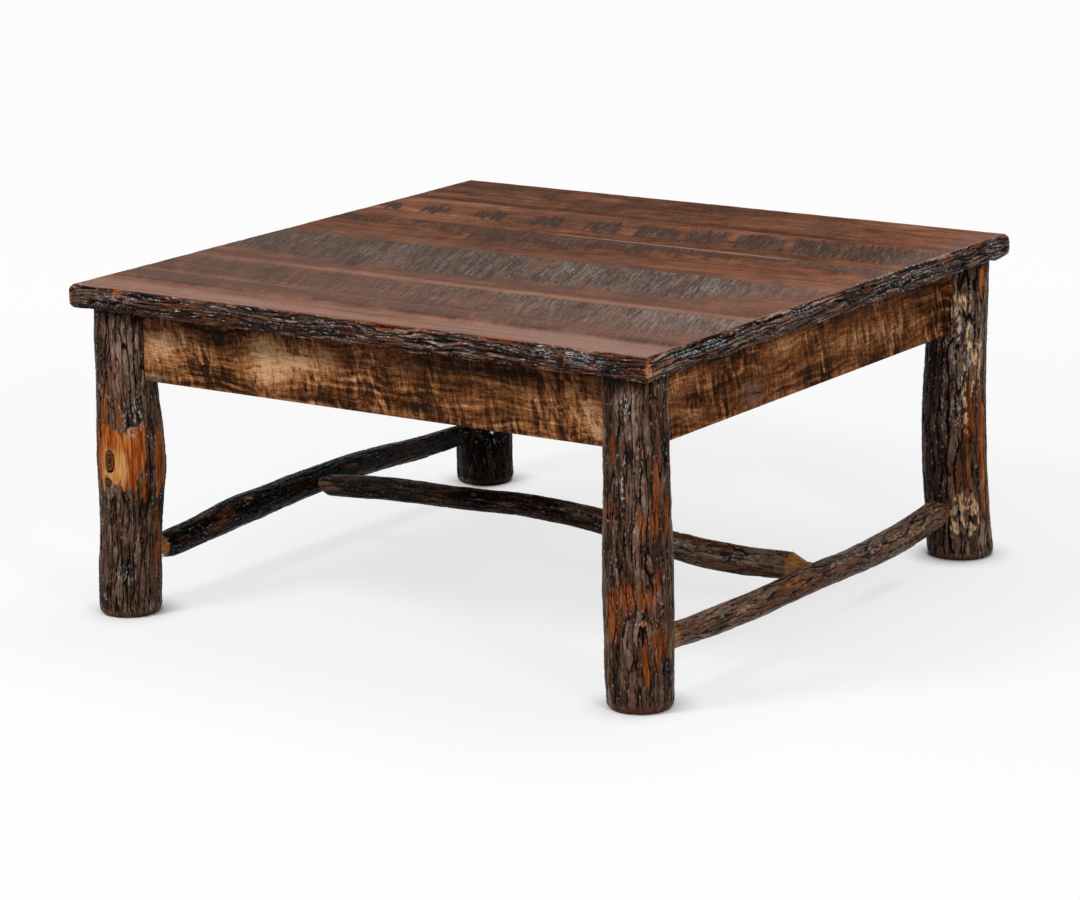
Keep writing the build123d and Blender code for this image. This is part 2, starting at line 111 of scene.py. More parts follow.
def closedGrid(name, points, layers):
    # points[row, column] in mm, closed across its columns, which run anticlockwise seen from the far end; each
    # end is closed by a flat fan to its own middle. A layer is a place, or up to four values kept as a colour.
    rows, columns = points.shape[:2]
    row, column = np.meshgrid(np.arange(rows - 1), np.arange(columns), indexing="ij")
    after = (column + 1) % columns
    quads = np.stack([row * columns + column, row * columns + after,
                      (row + 1) * columns + after, (row + 1) * columns + column], -1).reshape(-1, 4)
    ring = np.arange(columns)
    following, last, middles = (ring + 1) % columns, (rows - 1) * columns, rows * columns
    startFan = np.stack([np.full(columns, middles), following, ring], -1)
    endFan = np.stack([np.full(columns, middles + 1), last + ring, last + following], -1)
    corners = np.concatenate([quads.ravel(), startFan.ravel(), endFan.ravel()])
    starts = np.concatenate([4 * np.arange(len(quads)), 4 * len(quads) + 3 * np.arange(2 * columns)])

    def withMiddles(values):
        return np.concatenate([values.reshape(rows * columns, -1), values[[0, -1]].mean(1)]).ravel()

    mesh = bpy.data.meshes.new(name)
    mesh.vertices.add(rows * columns + 2)
    mesh.vertices.foreach_set("co", withMiddles(points) * mm)
    mesh.loops.add(len(corners))
    mesh.loops.foreach_set("vertex_index", corners)
    mesh.polygons.add(len(starts))
    mesh.polygons.foreach_set("loop_start", starts)
    mesh.polygons.foreach_set("use_smooth", np.arange(len(starts)) < len(quads))
    for layer, values in layers.items():
        kind, field = "FLOAT_VECTOR", "vector"
        if isinstance(values, list):
            kind, field = "FLOAT_COLOR", "color"
            values = np.stack(values + [np.ones(values[0].shape)] * (4 - len(values)), -1)
        mesh.attributes.new(layer, kind, "POINT").data.foreach_set(field, withMiddles(values))
    mesh.update(calc_edges=True)
    mesh.validate()
    return mesh


def addPiece(name, points, layers, material, node):
    # the finished piece, which rides on the table and stands for its CAD node
    mesh = closedGrid(name, points, layers)
    mesh.materials.append(material)
    piece = bpy.data.objects.new(name, mesh)
    bpy.context.scene.collection.objects.link(piece)
    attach(piece, "root")
    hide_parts(node)


sides = {"front": (0, -1), "right": (1, 0), "back": (0, 1), "left": (-1, 0)}


def onSide(side, along, out, up):
    # a point that is so far along a side, out from the middle of the table and up from the floor
    nx, ny = sides[side]
    return np.stack(np.broadcast_arrays(nx * out + ny * along, ny * out - nx * along, up), -1)


def rgb(text):
    # an sRGB hex colour as the linear numbers that nodes take
    parts = [int(text[k:k + 2], 16) / 255 for k in (1, 3, 5)]
    return tuple(c / 12.92 if c <= 0.04045 else ((c + 0.055) / 1.055) ** 2.4 for c in parts) + (1.0,)


def add(tree, kind, *values, named=None, ramp=None, **settings):
    # one node: values or links for its sockets, in their order or by name, a ramp's stops, and its settings; a
    # MapRange takes its value, the range it comes from and the range it goes to, which is 0 to 1 if not given
    made = tree.nodes.new("ShaderNode" + kind)
    for key, value in settings.items():
        setattr(made, key, value)
    for key, value in [*enumerate(values), *(named or {}).items()]:
        if isinstance(value, bpy.types.Node):
            # a node stands for its first output, and a mix of colours for its colour
            value = value.outputs[2 if value.bl_idname == "ShaderNodeMix" else 0]
        if isinstance(value, bpy.types.NodeSocket):
            tree.links.new(value, made.inputs[key])
        else:
            made.inputs[key].default_value = rgb(value) if isinstance(value, str) else value
    if ramp:
        stops = made.color_ramp.elements
        while len(stops) < len(ramp):
            stops.new(0.5)
        for stop, (place, colour) in zip(stops, ramp.items()):
            stop.position = place
            stop.color = rgb(colour)
    return made


def newMaterial(name):
    material = bpy.data.materials.new(name)
    material.use_nodes = True
    material.node_tree.nodes.clear()
    return material, material.node_tree


def pattern(tree, source, size, turn=0.0, detail=3.0, roughness=0.55, distortion=0.0, shift=0.0):
    # cloudy noise whose features have the given size in mm along x, y and z, after a turn about z
    place = add(tree, "Mapping", source, (shift,) * 3, (0, 0, turn), tuple(s * mm for s in size),
                vector_type="TEXTURE")
    return add(tree, "TexNoise", place, named={
        "Scale": 1.0, "Detail": detail, "Roughness": roughness, "Distortion": distortion})


def hairLines(tree, cloudy, span, middle=0.5, strength=1.0):
    # thin lines where a pattern crosses its middle value: full up to span[0] away from it, gone at span[1]
    off = add(tree, "Math", cloudy, middle, operation="SUBTRACT")
    off = add(tree, "Math", off, operation="ABSOLUTE")
    return add(tree, "MapRange", off, *span, strength, 0.0)


def channels(tree, layer):
    # the four values that a mesh layer holds at each point
    layer = add(tree, "Attribute", attribute_name=layer)
    parts = add(tree, "SeparateColor", layer).outputs
    return parts["Red"], parts["Green"], parts["Blue"], layer.outputs["Alpha"]


def coated(tree, colour, coats):
    # each coat is how much of it shows and its colour, laid over what is there already
    for shown, over in coats:
        colour = add(tree, "Mix", named={0: shown, 6: colour, 7: over}, data_type="RGBA")
    return colour


def finishWood(material, colour, dullness, shine, height, strength, deep):
    # the shader that all the wood shares, with a fine relief that is deep mm high
    tree = material.node_tree
    bump = add(tree, "Bump", named={"Height": height, "Strength": strength, "Distance": deep * mm})
    wood = add(tree, "BsdfPrincipled", named={
        "Base Color": colour, "Roughness": dullness, "Specular IOR Level": shine, "Normal": bump})
    add(tree, "OutputMaterial", wood)
    return material


def barkMaterial(name, look):
    # Hickory bark left on the log and sprayed with clear lacquer: dull grey-brown ridges, black cracks between
    # them, orange inner bark where it has come off, and small glints on every edge, painted in as pale specks.
    material, tree = newMaterial(name)
    crack, peeled, flaked, golden = channels(tree, "bark")
    tone, reddish, ringed, glint = channels(tree, "tone")
    grain = add(tree, "Attribute", attribute_name="grain").outputs["Vector"]
    streaks = pattern(tree, grain, (2.2, 2.2, 11), detail=4, roughness=0.65)
    clouds = pattern(tree, grain, (14, 14, 40))
    shade = add(tree, "Math", streaks, 0.8, tone, operation="MULTIPLY_ADD")
    shade = add(tree, "Math", shade, clouds, operation="ADD")
    shade = add(tree, "MapRange", shade, 0.85, 1.95)
    warmth = pattern(tree, grain, (4, 4, 30), shift=0.3)
    warmth = add(tree, "Math", warmth, reddish, operation="MULTIPLY")
    warmth = add(tree, "MapRange", warmth, 0.2, 0.55, 0, look["warmth"])
    # broken hair cracks, and a painted glint on the lip beside each
    veins = pattern(tree, grain, look["veins"], detail=2, roughness=0.5, shift=0.7)
    broken = pattern(tree, grain, (9, 9, 24), detail=2, shift=0.9)
    broken = add(tree, "MapRange", broken, 0.43, 0.5)
    hair = hairLines(tree, veins, (0.008, 0.038), strength=0.95)
    hair = add(tree, "Math", hair, broken, operation="MULTIPLY")
    beadsAndGlints = pattern(tree, grain, (1.9, 1.9, 4.5), detail=2)
    wet = add(tree, "MapRange", beadsAndGlints, *look["wet"], 0.04)
    wet = add(tree, "Math", wet, broken, operation="MULTIPLY")
    glintLip = hairLines(tree, veins, (0.006, 0.02), middle=0.546)
    glintLip = add(tree, "Math", glintLip, wet, operation="MULTIPLY")
    fibres = pattern(tree, grain, (3.0, 3.0, 40), detail=5, distortion=0.4)
    crumbs = pattern(tree, grain, (3, 3, 7))
    knotted = add(tree, "Math", ringed, 0.02, operation="GREATER_THAN")
    drivenBy = {"ridge": shade, "peel": fibres, "gold": fibres, "flake": crumbs, "rings": ringed}
    shown = {part: add(tree, "ValToRGB", value, ramp=look[part]) for part, value in drivenBy.items()}
    # the pale specks laid over it from the lip and glint values are painted glints
    colour = coated(tree, shown["ridge"], [
        (warmth, look["warm"]), (glintLip, look["bead"]), (hair, look["crack"]), (peeled, shown["peel"]),
        (golden, shown["gold"]), (flaked, shown["flake"]), (knotted, shown["rings"]), (crack, look["crack"]),
        (glint, look["bead"])])
    fine = pattern(tree, grain, (1.2, 1.2, 6), detail=4)
    relief = add(tree, "Math", beadsAndGlints, 1.6, fine, operation="MULTIPLY_ADD")
    relief = add(tree, "Math", hair, -0.8, relief, operation="MULTIPLY_ADD")
    dull = add(tree, "MapRange", streaks, 0.35, 0.65, *look["gloss"])
    return finishWood(material, colour, dull, look["shine"], relief, strength=0.9, deep=0.6)


legBark = barkMaterial("lacquered hickory bark", {
    "ridge": {0.0: "#120905", 0.3: "#3c261a", 0.55: "#5d4332", 0.8: "#7c5f4e", 1.0: "#a08878"},
    "peel": {0.25: "#441706", 0.42: "#92410f", 0.55: "#c26a28", 0.75: "#e0a06a"},
    "gold": {0.25: "#9a5420", 0.42: "#cf8844", 0.55: "#e2a66a", 0.75: "#f2cca0"},
    "flake": {0.3: "#60402a", 0.42: "#d09c6a", 0.6: "#fbdcb4"},
    "rings": {0.0: "#160a04", 0.1: "#1c0d05", 0.22: "#8a5526", 0.4: "#2c1509", 0.6: "#7a4a20", 0.85: "#140904"},
    "warm": "#74350f", "warmth": 0.75, "crack": "#020202", "bead": "#d8dde4", "gloss": (0.12, 0.42),
    "shine": 0.03, "veins": (7.5, 7.5, 85), "wet": (0.6, 0.68)})
edgeBark = barkMaterial("lacquered edging bark", {
    "ridge": {0.0: "#080302", 0.3: "#26140b", 0.6: "#533626", 0.85: "#80604a", 1.0: "#a88c78"},
    "peel": {0.25: "#451a06", 0.42: "#823c10", 0.55: "#a65820", 0.75: "#c98a58"},
    # on the edging this gold shows only at the mitres, as a painted highlight on the bare wood
    "gold": {0.25: "#9a5a38", 0.42: "#cb9274", 0.55: "#e0b8a4", 0.75: "#f2dace"},
    "flake": {0.3: "#38291e", 0.5: "#5e4a38", 0.75: "#84705a"},
    "rings": {0.0: "#8c4e20", 0.12: "#783e14", 0.2: "#1c0e07", 0.45: "#40220f", 0.65: "#120905", 1.0: "#080402"},
    "warm": "#80380e", "warmth": 0.85, "crack": "#020202", "bead": "#ccd2da", "gloss": (0.1, 0.36),
    "shine": 0.035, "veins": (4.6, 4.6, 75), "wet": (0.5, 0.6)})
poleBark = barkMaterial("lacquered pole bark", {
    "ridge": {0.0: "#050201", 0.25: "#150b06", 0.5: "#38241a", 0.75: "#65493a", 1.0: "#8f7058"},
    "peel": {0.25: "#4a2614", 0.45: "#7c4a2c", 0.6: "#a87254", 0.8: "#d8b09a"},
    "gold": {0.25: "#7a4416", 0.42: "#b5772f", 0.55: "#cf9450", 0.75: "#e0ad70"},
    "flake": {0.3: "#5a4030", 0.48: "#a37e60", 0.7: "#d0b294"},
    "rings": {0.0: "#b5602a", 0.3: "#3b1e0c", 0.5: "#9a4a1c", 0.7: "#1d0e06", 1.0: "#6b3a18"},
    "warm": "#6a3a18", "warmth": 0.7, "crack": "#020202", "bead": "#b4b8be", "gloss": (0.12, 0.4),
    "shine": 0.03, "veins": (8, 8, 60), "wet": (0.55, 0.63)})


def barkSkin(a, b, wrap, look, seed):
    # a counts ridges across and b counts ridge lengths along. The height is flat ridges with round shoulders, a
    # narrow furrow between two that lie side by side, small plates and wrinkles on them, and short cross checks;
    # a furrow closes where a slow noise is low, and beads of lacquer stand along its lips, both as raised bumps
    # and as painted glints
    bend = look.wander * fractal(a / 4, b * 0.9, wrap // 4, seed, 3)
    bend = bend + look.wiggle * fractal(a * 1.5, b * 5, wrap * 3 // 2, seed + 3, 2)
    gap, own, beside, place = plates(a + bend, b + 0.3 * noise(a, b, wrap, seed + 5), wrap, seed + 10)
    side = ease(beside, 0.25, 0.7)
    open_ = ease(noise(a * 0.75, b * 3.1, wrap * 3 // 4, seed + 20), -0.8, 0.1) * side
    width = look.furrow * (0.35 + 0.65 * open_)
    furrow = (1.0 - ease(gap / width, 0.3, 1.0)) * ease(open_, 0.05, 0.35)
    shoulder = (1.0 - ease(gap, 0.0, 0.5)) * (0.25 + 0.75 * side)
    fineGap, fineOwn, fineBeside = plates(a * 1.75 + 1.75 * bend, b * 2.6, wrap * 7 // 4, seed + 30)[:3]
    fineOpen = ease(noise(a * 1.5, b * 5.0, wrap * 3 // 2, seed + 40), -0.25, 0.45) * ease(fineBeside, 0.25, 0.7)
    check = (1.0 - ease(fineGap / look.check, 0.3, 1.0)) * fineOpen * (1.0 - furrow)
    wrinkle = fractal(a * 4.0 + 4.0 * bend, b * 14.0, wrap * 4, seed + 50, 2)
    height = (look.plate * (own - 0.5) - look.dome * shoulder + look.tilt * place
              - look.furrowDepth * furrow - look.fineDepth * check
              + look.fineDepth * (fineOwn - 0.5) + look.wrinkle * wrinkle)
    glintLip = ease(gap / width, 0.9, 1.3) * (1.0 - ease(gap / width, 1.4, 2.2)) * ease(open_, 0.2, 0.6)
    beadsAndGlints = 0.7 * ease(noise(a * 6, b * 22, wrap * 6, seed + 60), 0.4, 0.7) * glintLip
    height = height + look.bead * beadsAndGlints
    # the tone is darker where the height is low: painted shade in the hollows
    tone = 0.15 + 0.2 * own + 0.2 * fineOwn + 0.45 * ease(height, -1.2, 0.8)
    crack = np.clip(furrow + look.checkInk * check, 0, 1)
    return SimpleNamespace(height=height, crack=crack, own=own, tone=tone, fine=check, beadsAndGlints=beadsAndGlints)


# Marks on the bark: peel bares the wood, gold is pale wood round a knot, rust is orange bark, red a reddish
# plate, tan crumbled bark, bark covers a peeled place, curl is bark grown round a lost twig, the glint kind is
# painted highlights where the lacquer lies thick, pale and dark change the bark's tone, and deep darkens
# whatever is there
markEdges = {  # how far the bark's own pattern moves a mark's edge, and how soft the edge is
    "peel": (1.0, 0.05), "gold": (0.3, 0.4), "rust": (1.4, 0.5), "red": (0.8, 0.3), "tan": (1.0, 0.12),
    "knot": (0.12, 0.06), "bark": (0.6, 0.05), "curl": (0.3, 0.1), "glaze": (1.0, 0.5), "pale": (0.8, 0.6),
    "dark": (0.8, 0.5), "deep": (0.8, 0.4)}
squareness = 2.6  # 2 would make the marks oval, and more makes them squarer


def drawMarks(marks, jag, apart):
    # apart gives how far the points are from a mark's place, in mm along both its axes; the result is a mask for
    # each kind, 1 inside its marks and 0 outside, and each single mark with how far out in it a point lies
    masks, drawn = {kind: np.zeros(jag.shape) for kind in markEdges}, []
    for kind, places in marks.items():
        ragged, soft = markEdges[kind]
        for at, aside, halfLong, halfWide in places:
            u, v = apart(at, aside)
            u, v = u / halfLong, v / halfWide
            out = (np.abs(u) ** squareness + np.abs(v) ** squareness) ** (1 / squareness) + jag * ragged
            inside = 1.0 - ease(out, 1.0 - soft, 1.0 + soft)
            masks[kind] = np.maximum(masks[kind], inside)
            drawn.append((kind, inside, np.hypot(u, v)))
    return SimpleNamespace(**masks), drawn


def knotRings(drawn, jag, ragged):
    # from just above 0 at a knot's rim to 1 in its middle
    rings = np.zeros(jag.shape)
    for kind, inside, out in drawn:
        if kind == "knot":
            rings = np.maximum(rings, inside * np.clip(1.0 - (out + ragged * jag), 0.03, 1.0))
    return rings


def turnedFrom(turn, degrees):
    # the angle from a direction, between minus and plus half a turn
    return np.mod(turn - math.radians(degrees) + math.pi, 2 * math.pi) - math.pi


legs = {
    "wander": 0.6, "wiggle": 0.16, "furrow": 0.16, "furrowDepth": 2.2, "plate": 0.7, "dome": 0.8, "tilt": 0.3,
    "check": 0.2, "fineDepth": 0.5, "wrinkle": 0.45, "checkInk": 0.85, "ridgeWidth": 11.5, "bead": 0.4,
    "plateLength": 62.0, "cellsRound": 300, "cellsUp": 318, "standAt": (415.3, 418.6), "height": 428.4,
    "bevelHeight": 6.5, "bevelWidth": 4.0, "bevelRows": 5, "mostOut": 1.2, "meanRadius": 43.5, "lumps": 1.1,
    "peelDepth": 1.1, "deepInk": 0.38, "beadShine": 0.65, "glazeShine": 0.62, "tone": 0.0, "lessRed": 0.0,
    "topShadow": (402, 426), "topDarker": 0.45,
}
# What each leg has of its own: its shape is (height, lean towards the middle, radius), and its marks are
# (direction in degrees, height, half width, half height in mm)
eachLeg = {
    "left": {
        "corner": (-1, -1), "lessRed": 0.22, "ridgeWidth": 9.0, "wander": 0.4, "furrow": 0.19,
        "shape": [(0, 0, 42.4), (60, 2, 42.6), (120, 6, 42.0), (165, 8.5, 44.2), (205, 10, 47.0),
                  (250, 10, 45.2), (300, 8.5, 41.9), (365, 8.5, 41.2), (428.4, 10, 41.0)],
        "marks": {
            "peel": [(-72, 220, 52, 40), (12, 216, 20, 38), (112, 262, 5, 30), (124, 246, 6, 24),
                     (134, 268, 4, 20)],
            "rust": [(-76, 340, 3, 15), (-67, 283, 4, 22), (5, 92, 12, 40), (-30, 172, 5, 8),
                     (-100, 290, 6, 40), (175, 120, 10, 60)],
            "glaze": [(-50, 278, 12, 22), (-32, 290, 6, 30), (-60, 60, 14, 10)],
            "knot": [(-89, 218, 8.5, 16), (-93, 189, 6.5, 6.5)], "gold": [(-82, 207, 19, 26)],
            "bark": [(-19, 216, 5, 40)], "deep": [(20, 212, 14, 40), (-120, 215, 8, 34)],
            "pale": [(-55, 370, 20, 60)], "dark": [(10, 120, 18, 90), (-105, 300, 10, 130)]}},
    "front": {
        "corner": (1, -1), "ridgeWidth": 10.0, "wander": 0.45,
        "shape": [(0, 0, 42.8), (60, 1.5, 43.6), (120, 3, 44.7), (180, 4.5, 44.2), (240, 6, 42.6),
                  (310, 7, 41.6), (428.4, 8, 40.4)],
        "marks": {
            "rust": [(5, 247, 5, 27), (-50, 248, 6, 22), (-26, 250, 7, 18), (-103, 127, 9, 32),
                     (-72, 152, 8, 17), (-41, 150, 14, 19), (-28, 94, 13, 22), (-20, 290, 5, 30),
                     (-100, 330, 3, 18), (-45, 60, 4, 20)],
            "glaze": [(-74, 388, 14, 14), (-50, 322, 4, 30), (-80, 290, 3, 40), (-62, 228, 3, 26),
                      (-60, 118, 12, 16)],
            "peel": [(-47, 118, 5, 4), (102, 205, 5, 30), (113, 190, 4, 24), (122, 212, 4, 16)],
            "curl": [(-18, 136, 7, 8), (-27, 114, 6, 7)], "pale": [(-60, 380, 16, 30)],
            "dark": [(-108, 240, 10, 190), (12, 330, 10, 80)]}},
    "right": {
        "corner": (1, 1), "tone": 0.05, "lessRed": 0.22, "furrow": 0.23, "furrowDepth": 2.8,
        "shape": [(0, 3, 47.0), (60, 8, 46), (120, 12, 45.6), (180, 14, 45.4), (240, 13.5, 44.5),
                  (300, 12, 43.4), (365, 10, 43), (428.4, 9, 42.5)],
        "marks": {
            "tan": [(-62, 367, 8, 19), (-46, 371, 7, 11), (-24, 300, 14, 19), (-52, 67, 19, 24),
                    (-62, 294, 6, 10), (-45, 255, 4, 30), (-33, 330, 8, 14), (-14, 286, 4, 34),
                    (-27, 258, 3, 20), (-57, 335, 3, 20), (-40, 205, 3, 22), (-70, 60, 5, 16)],
            "rust": [(-2, 140, 10, 100), (-30, 225, 4, 50), (-36, 150, 3, 60), (80, 250, 10, 40)],
            "glaze": [(-62, 312, 9, 18), (-35, 385, 12, 14), (-60, 340, 8, 22), (-55, 225, 7, 50),
                      (-50, 345, 10, 16), (-40, 300, 6, 40), (-82, 240, 3, 60)],
            "peel": [(-8, 398, 7, 20), (0, 130, 4, 80)], "red": [(-53, 165, 12, 42)],
            "pale": [(-45, 325, 30, 75), (-62, 330, 12, 60), (-50, 60, 20, 40)],
            "dark": [(-97, 190, 17, 170), (-35, 215, 8, 40)]}},
    "back": {
        # the back leg's tone makes it darker all over: painted shade of the table over it
        "corner": (-1, 1), "tone": -0.6, "lessRed": 0.25,
        "shape": [(0, 0, 43.3), (60, 1, 43.3), (120, 3, 43.4), (180, 5, 43.6), (240, 6, 43.4), (310, 7, 42.6),
                  (428.4, 8, 41.5)],
        "marks": {
            "rust": [(60, 220, 16, 30)], "peel": [(146, 118, 5, 24), (156, 104, 4, 18), (164, 130, 5, 20)],
            "knot": [(62, 222, 8, 9)], "pale": [(100, 300, 40, 80), (140, 100, 40, 60)]}},
}


def makeLeg(name, seed):
    # rings of the given radius round a line that leans a little, with the bark's height on them and a round foot
    look = SimpleNamespace(**{**legs, **eachLeg[name]})
    low, bevelRows = look.bevelHeight, look.bevelRows
    rows = np.concatenate([np.linspace(0, low, bevelRows + 1),
                           np.linspace(low + 1.0, look.height, look.cellsUp - bevelRows)])
    turn = 2 * math.pi * np.arange(look.cellsRound) / look.cellsRound
    up, turn = np.meshgrid(rows, turn, indexing="ij")
    shape = smoothAlong(look.shape, up)
    lean, radius = shape[..., 0], shape[..., 1]
    wrap = 4 * round(2 * math.pi * look.meanRadius / look.ridgeWidth / 4)
    a, b = turn / (2 * math.pi) * wrap, up / look.plateLength
    skin = barkSkin(a, b, wrap, look, seed)
    lump = fractal(a / 4, b * 1.3, wrap // 4, seed + 70, 3)
    height = skin.height + look.lumps * lump
    jag = (0.45 * (skin.own - 0.5) + 0.3 * noise(a * 1.5, b * 1.2, wrap * 3 // 2, seed + 80)
           + 0.1 * noise(a * 4, b * 8, wrap * 4, seed + 81))
    masks, drawn = drawMarks(look.marks, jag, lambda towards, at: (turnedFrom(turn, towards) * radius, up - at))
    rings, curls, pits = knotRings(drawn, jag, 0.5), np.zeros(up.shape), np.zeros(up.shape)
    for kind, inside, out in drawn:
        if kind == "curl":
            # a raised lip, a dark pit, and a raised middle
            out = out + 0.6 * jag
            pit = inside * (1 - ease(np.abs(out - 0.5), 0.06, 0.2))
            curls += 1.4 * inside * (1 - ease(np.abs(out - 0.8), 0.1, 0.3)) - 1.5 * pit
            pits = np.maximum(pits, pit)
    bare = masks.peel * (1.0 - masks.bark)
    height = height * (1 - 0.9 * bare) - look.peelDepth * bare
    height += 0.3 * bare * fractal(a, b * 2, wrap, seed + 90, 3)
    crumbs = fractal(a * 3.5, b * 8, wrap * 7 // 2, seed + 92, 3)
    height += masks.tan * (0.6 + 1.2 * crumbs)
    height += 0.8 * masks.knot - 0.9 * masks.knot * ease(rings, 0.5, 0.9)
    height = height * (1 - 0.7 * masks.curl) + curls
    crack = skin.crack * (1 - 0.93 * bare) * (1 - masks.knot) * (1 - 0.8 * masks.curl) + 0.9 * pits
    crack = np.clip(np.maximum(crack, look.deepInk * masks.deep), 0, 1)
    speckle = ease(noise(a * 7, b * 18, wrap * 7, seed + 98), 0.3, 0.7)
    # painted glints: pale specks on the beads and in the glint marks
    beadsAndGlints = look.beadShine * skin.beadsAndGlints * (1 - bare)
    beadsAndGlints = np.maximum(beadsAndGlints, look.glazeShine * masks.glaze * speckle * (1 - crack))
    footed = ease(up, low * 0.8, low + 5.0)
    height = np.minimum(height, look.mostOut + 0.3 * lump) * footed
    bevel = look.bevelWidth * (1.0 - np.sin(np.clip(up / low, 0, 1) * math.pi / 2))
    reach = radius + height - bevel - 0.4 * (1 - footed)
    corner = np.array(look.corner, float)
    middle = corner * np.array(look.standAt) - corner * lean[..., None] * math.sqrt(0.5)
    points = np.stack([middle[..., 0] + reach * np.cos(turn), middle[..., 1] + reach * np.sin(turn), up], -1)
    peel = np.maximum(bare, 0.45 * masks.rust * (1 - skin.fine))
    tanned = np.maximum(masks.tan * ease(crumbs, -0.12, 0.14), 0.06 * (1 - footed))
    warm = 0.25 + 0.9 * fractal(a / 2, b * 1.5, wrap // 2, seed + 95, 3) + masks.rust + 0.8 * masks.red
    tone = skin.tone + look.tone + 0.25 * masks.pale - 0.28 * masks.dark
    # painted shade under the edging: the top of the leg darker
    tone -= look.topDarker * ease(up, *look.topShadow)
    layers = {
        "bark": [np.maximum(crack * footed, 0.5 * (1 - footed)), np.maximum(peel, 0.2 * (1 - footed)), tanned,
                 masks.gold * bare],
        "tone": [np.clip(tone, 0, 1), np.clip(warm - look.lessRed, 0, 1), rings, beadsAndGlints],
        "grain": points * mm + seed,
    }
    addPiece("leg_log_" + name, points, layers, legBark, "leg_" + name)


for order, name in enumerate(eachLeg):
    makeLeg(name, 100 + 7 * order)
print("legs made")


edging = {
    "wander": 1.3, "wiggle": 0.2, "furrow": 0.34, "furrowDepth": 1.8, "plate": 1.6, "dome": 1.3, "tilt": 0.7,
    "check": 0.3, "fineDepth": 0.5, "wrinkle": 0.35, "checkInk": 0.82, "ridgeWidth": 5.8, "bead": 0.5,
    "plateLength": 70.0, "cellsAlong": 930, "cellsOver": 43, "cellsAround": 64, "inner": 455.2, "strip": 457.2,
    "crown": 465.2, "low": 424.2, "high": 457.0, "cornerSum": 923.0, "deepest": 5.0, "bottomWave": 2.2,
    "calmFrom": 440, "mitreFrom": 460, "lumps": 1.3, "sunk": 1.1, "glazeShine": 0.55, "arrisBare": 0.9,
    "mitreGold": 0.4, "tone": 0.0, "wet": 1.0,
}
# What each side has of its own, such as how worn its arris is; its marks are (place along, height, half length,
# half height in mm)
eachEdge = {
    "front": {"worn": 0.8, "marks": {
        "knot": [(-340, 441, 7, 8), (428, 441, 4, 4)], "peel": [(384, 452, 6, 4)], "tan": [(436, 441, 24, 11)],
        "glaze": [(-378, 443, 24, 8), (-310, 447, 14, 5), (380, 446, 30, 4)]}},
    # this side has more painted glints
    "right": {"worn": 0.3, "tone": 0.05, "wet": 1.4, "marks": {
        "tan": [(113, 440, 30, 8), (-250, 436, 22, 6)],
        "glaze": [(-420, 444, 30, 6), (-180, 446, 60, 5), (90, 449, 50, 5), (330, 447, 90, 6)]}},
    "back": {"worn": 0.5, "marks": {"knot": [(150, 440, 8, 8)], "peel": [(150, 440, 12, 11)]}},
    "left": {"worn": 0.8, "marks": {"knot": [(-210, 442, 7, 7)], "peel": [(-210, 442, 10, 10)]}},
}


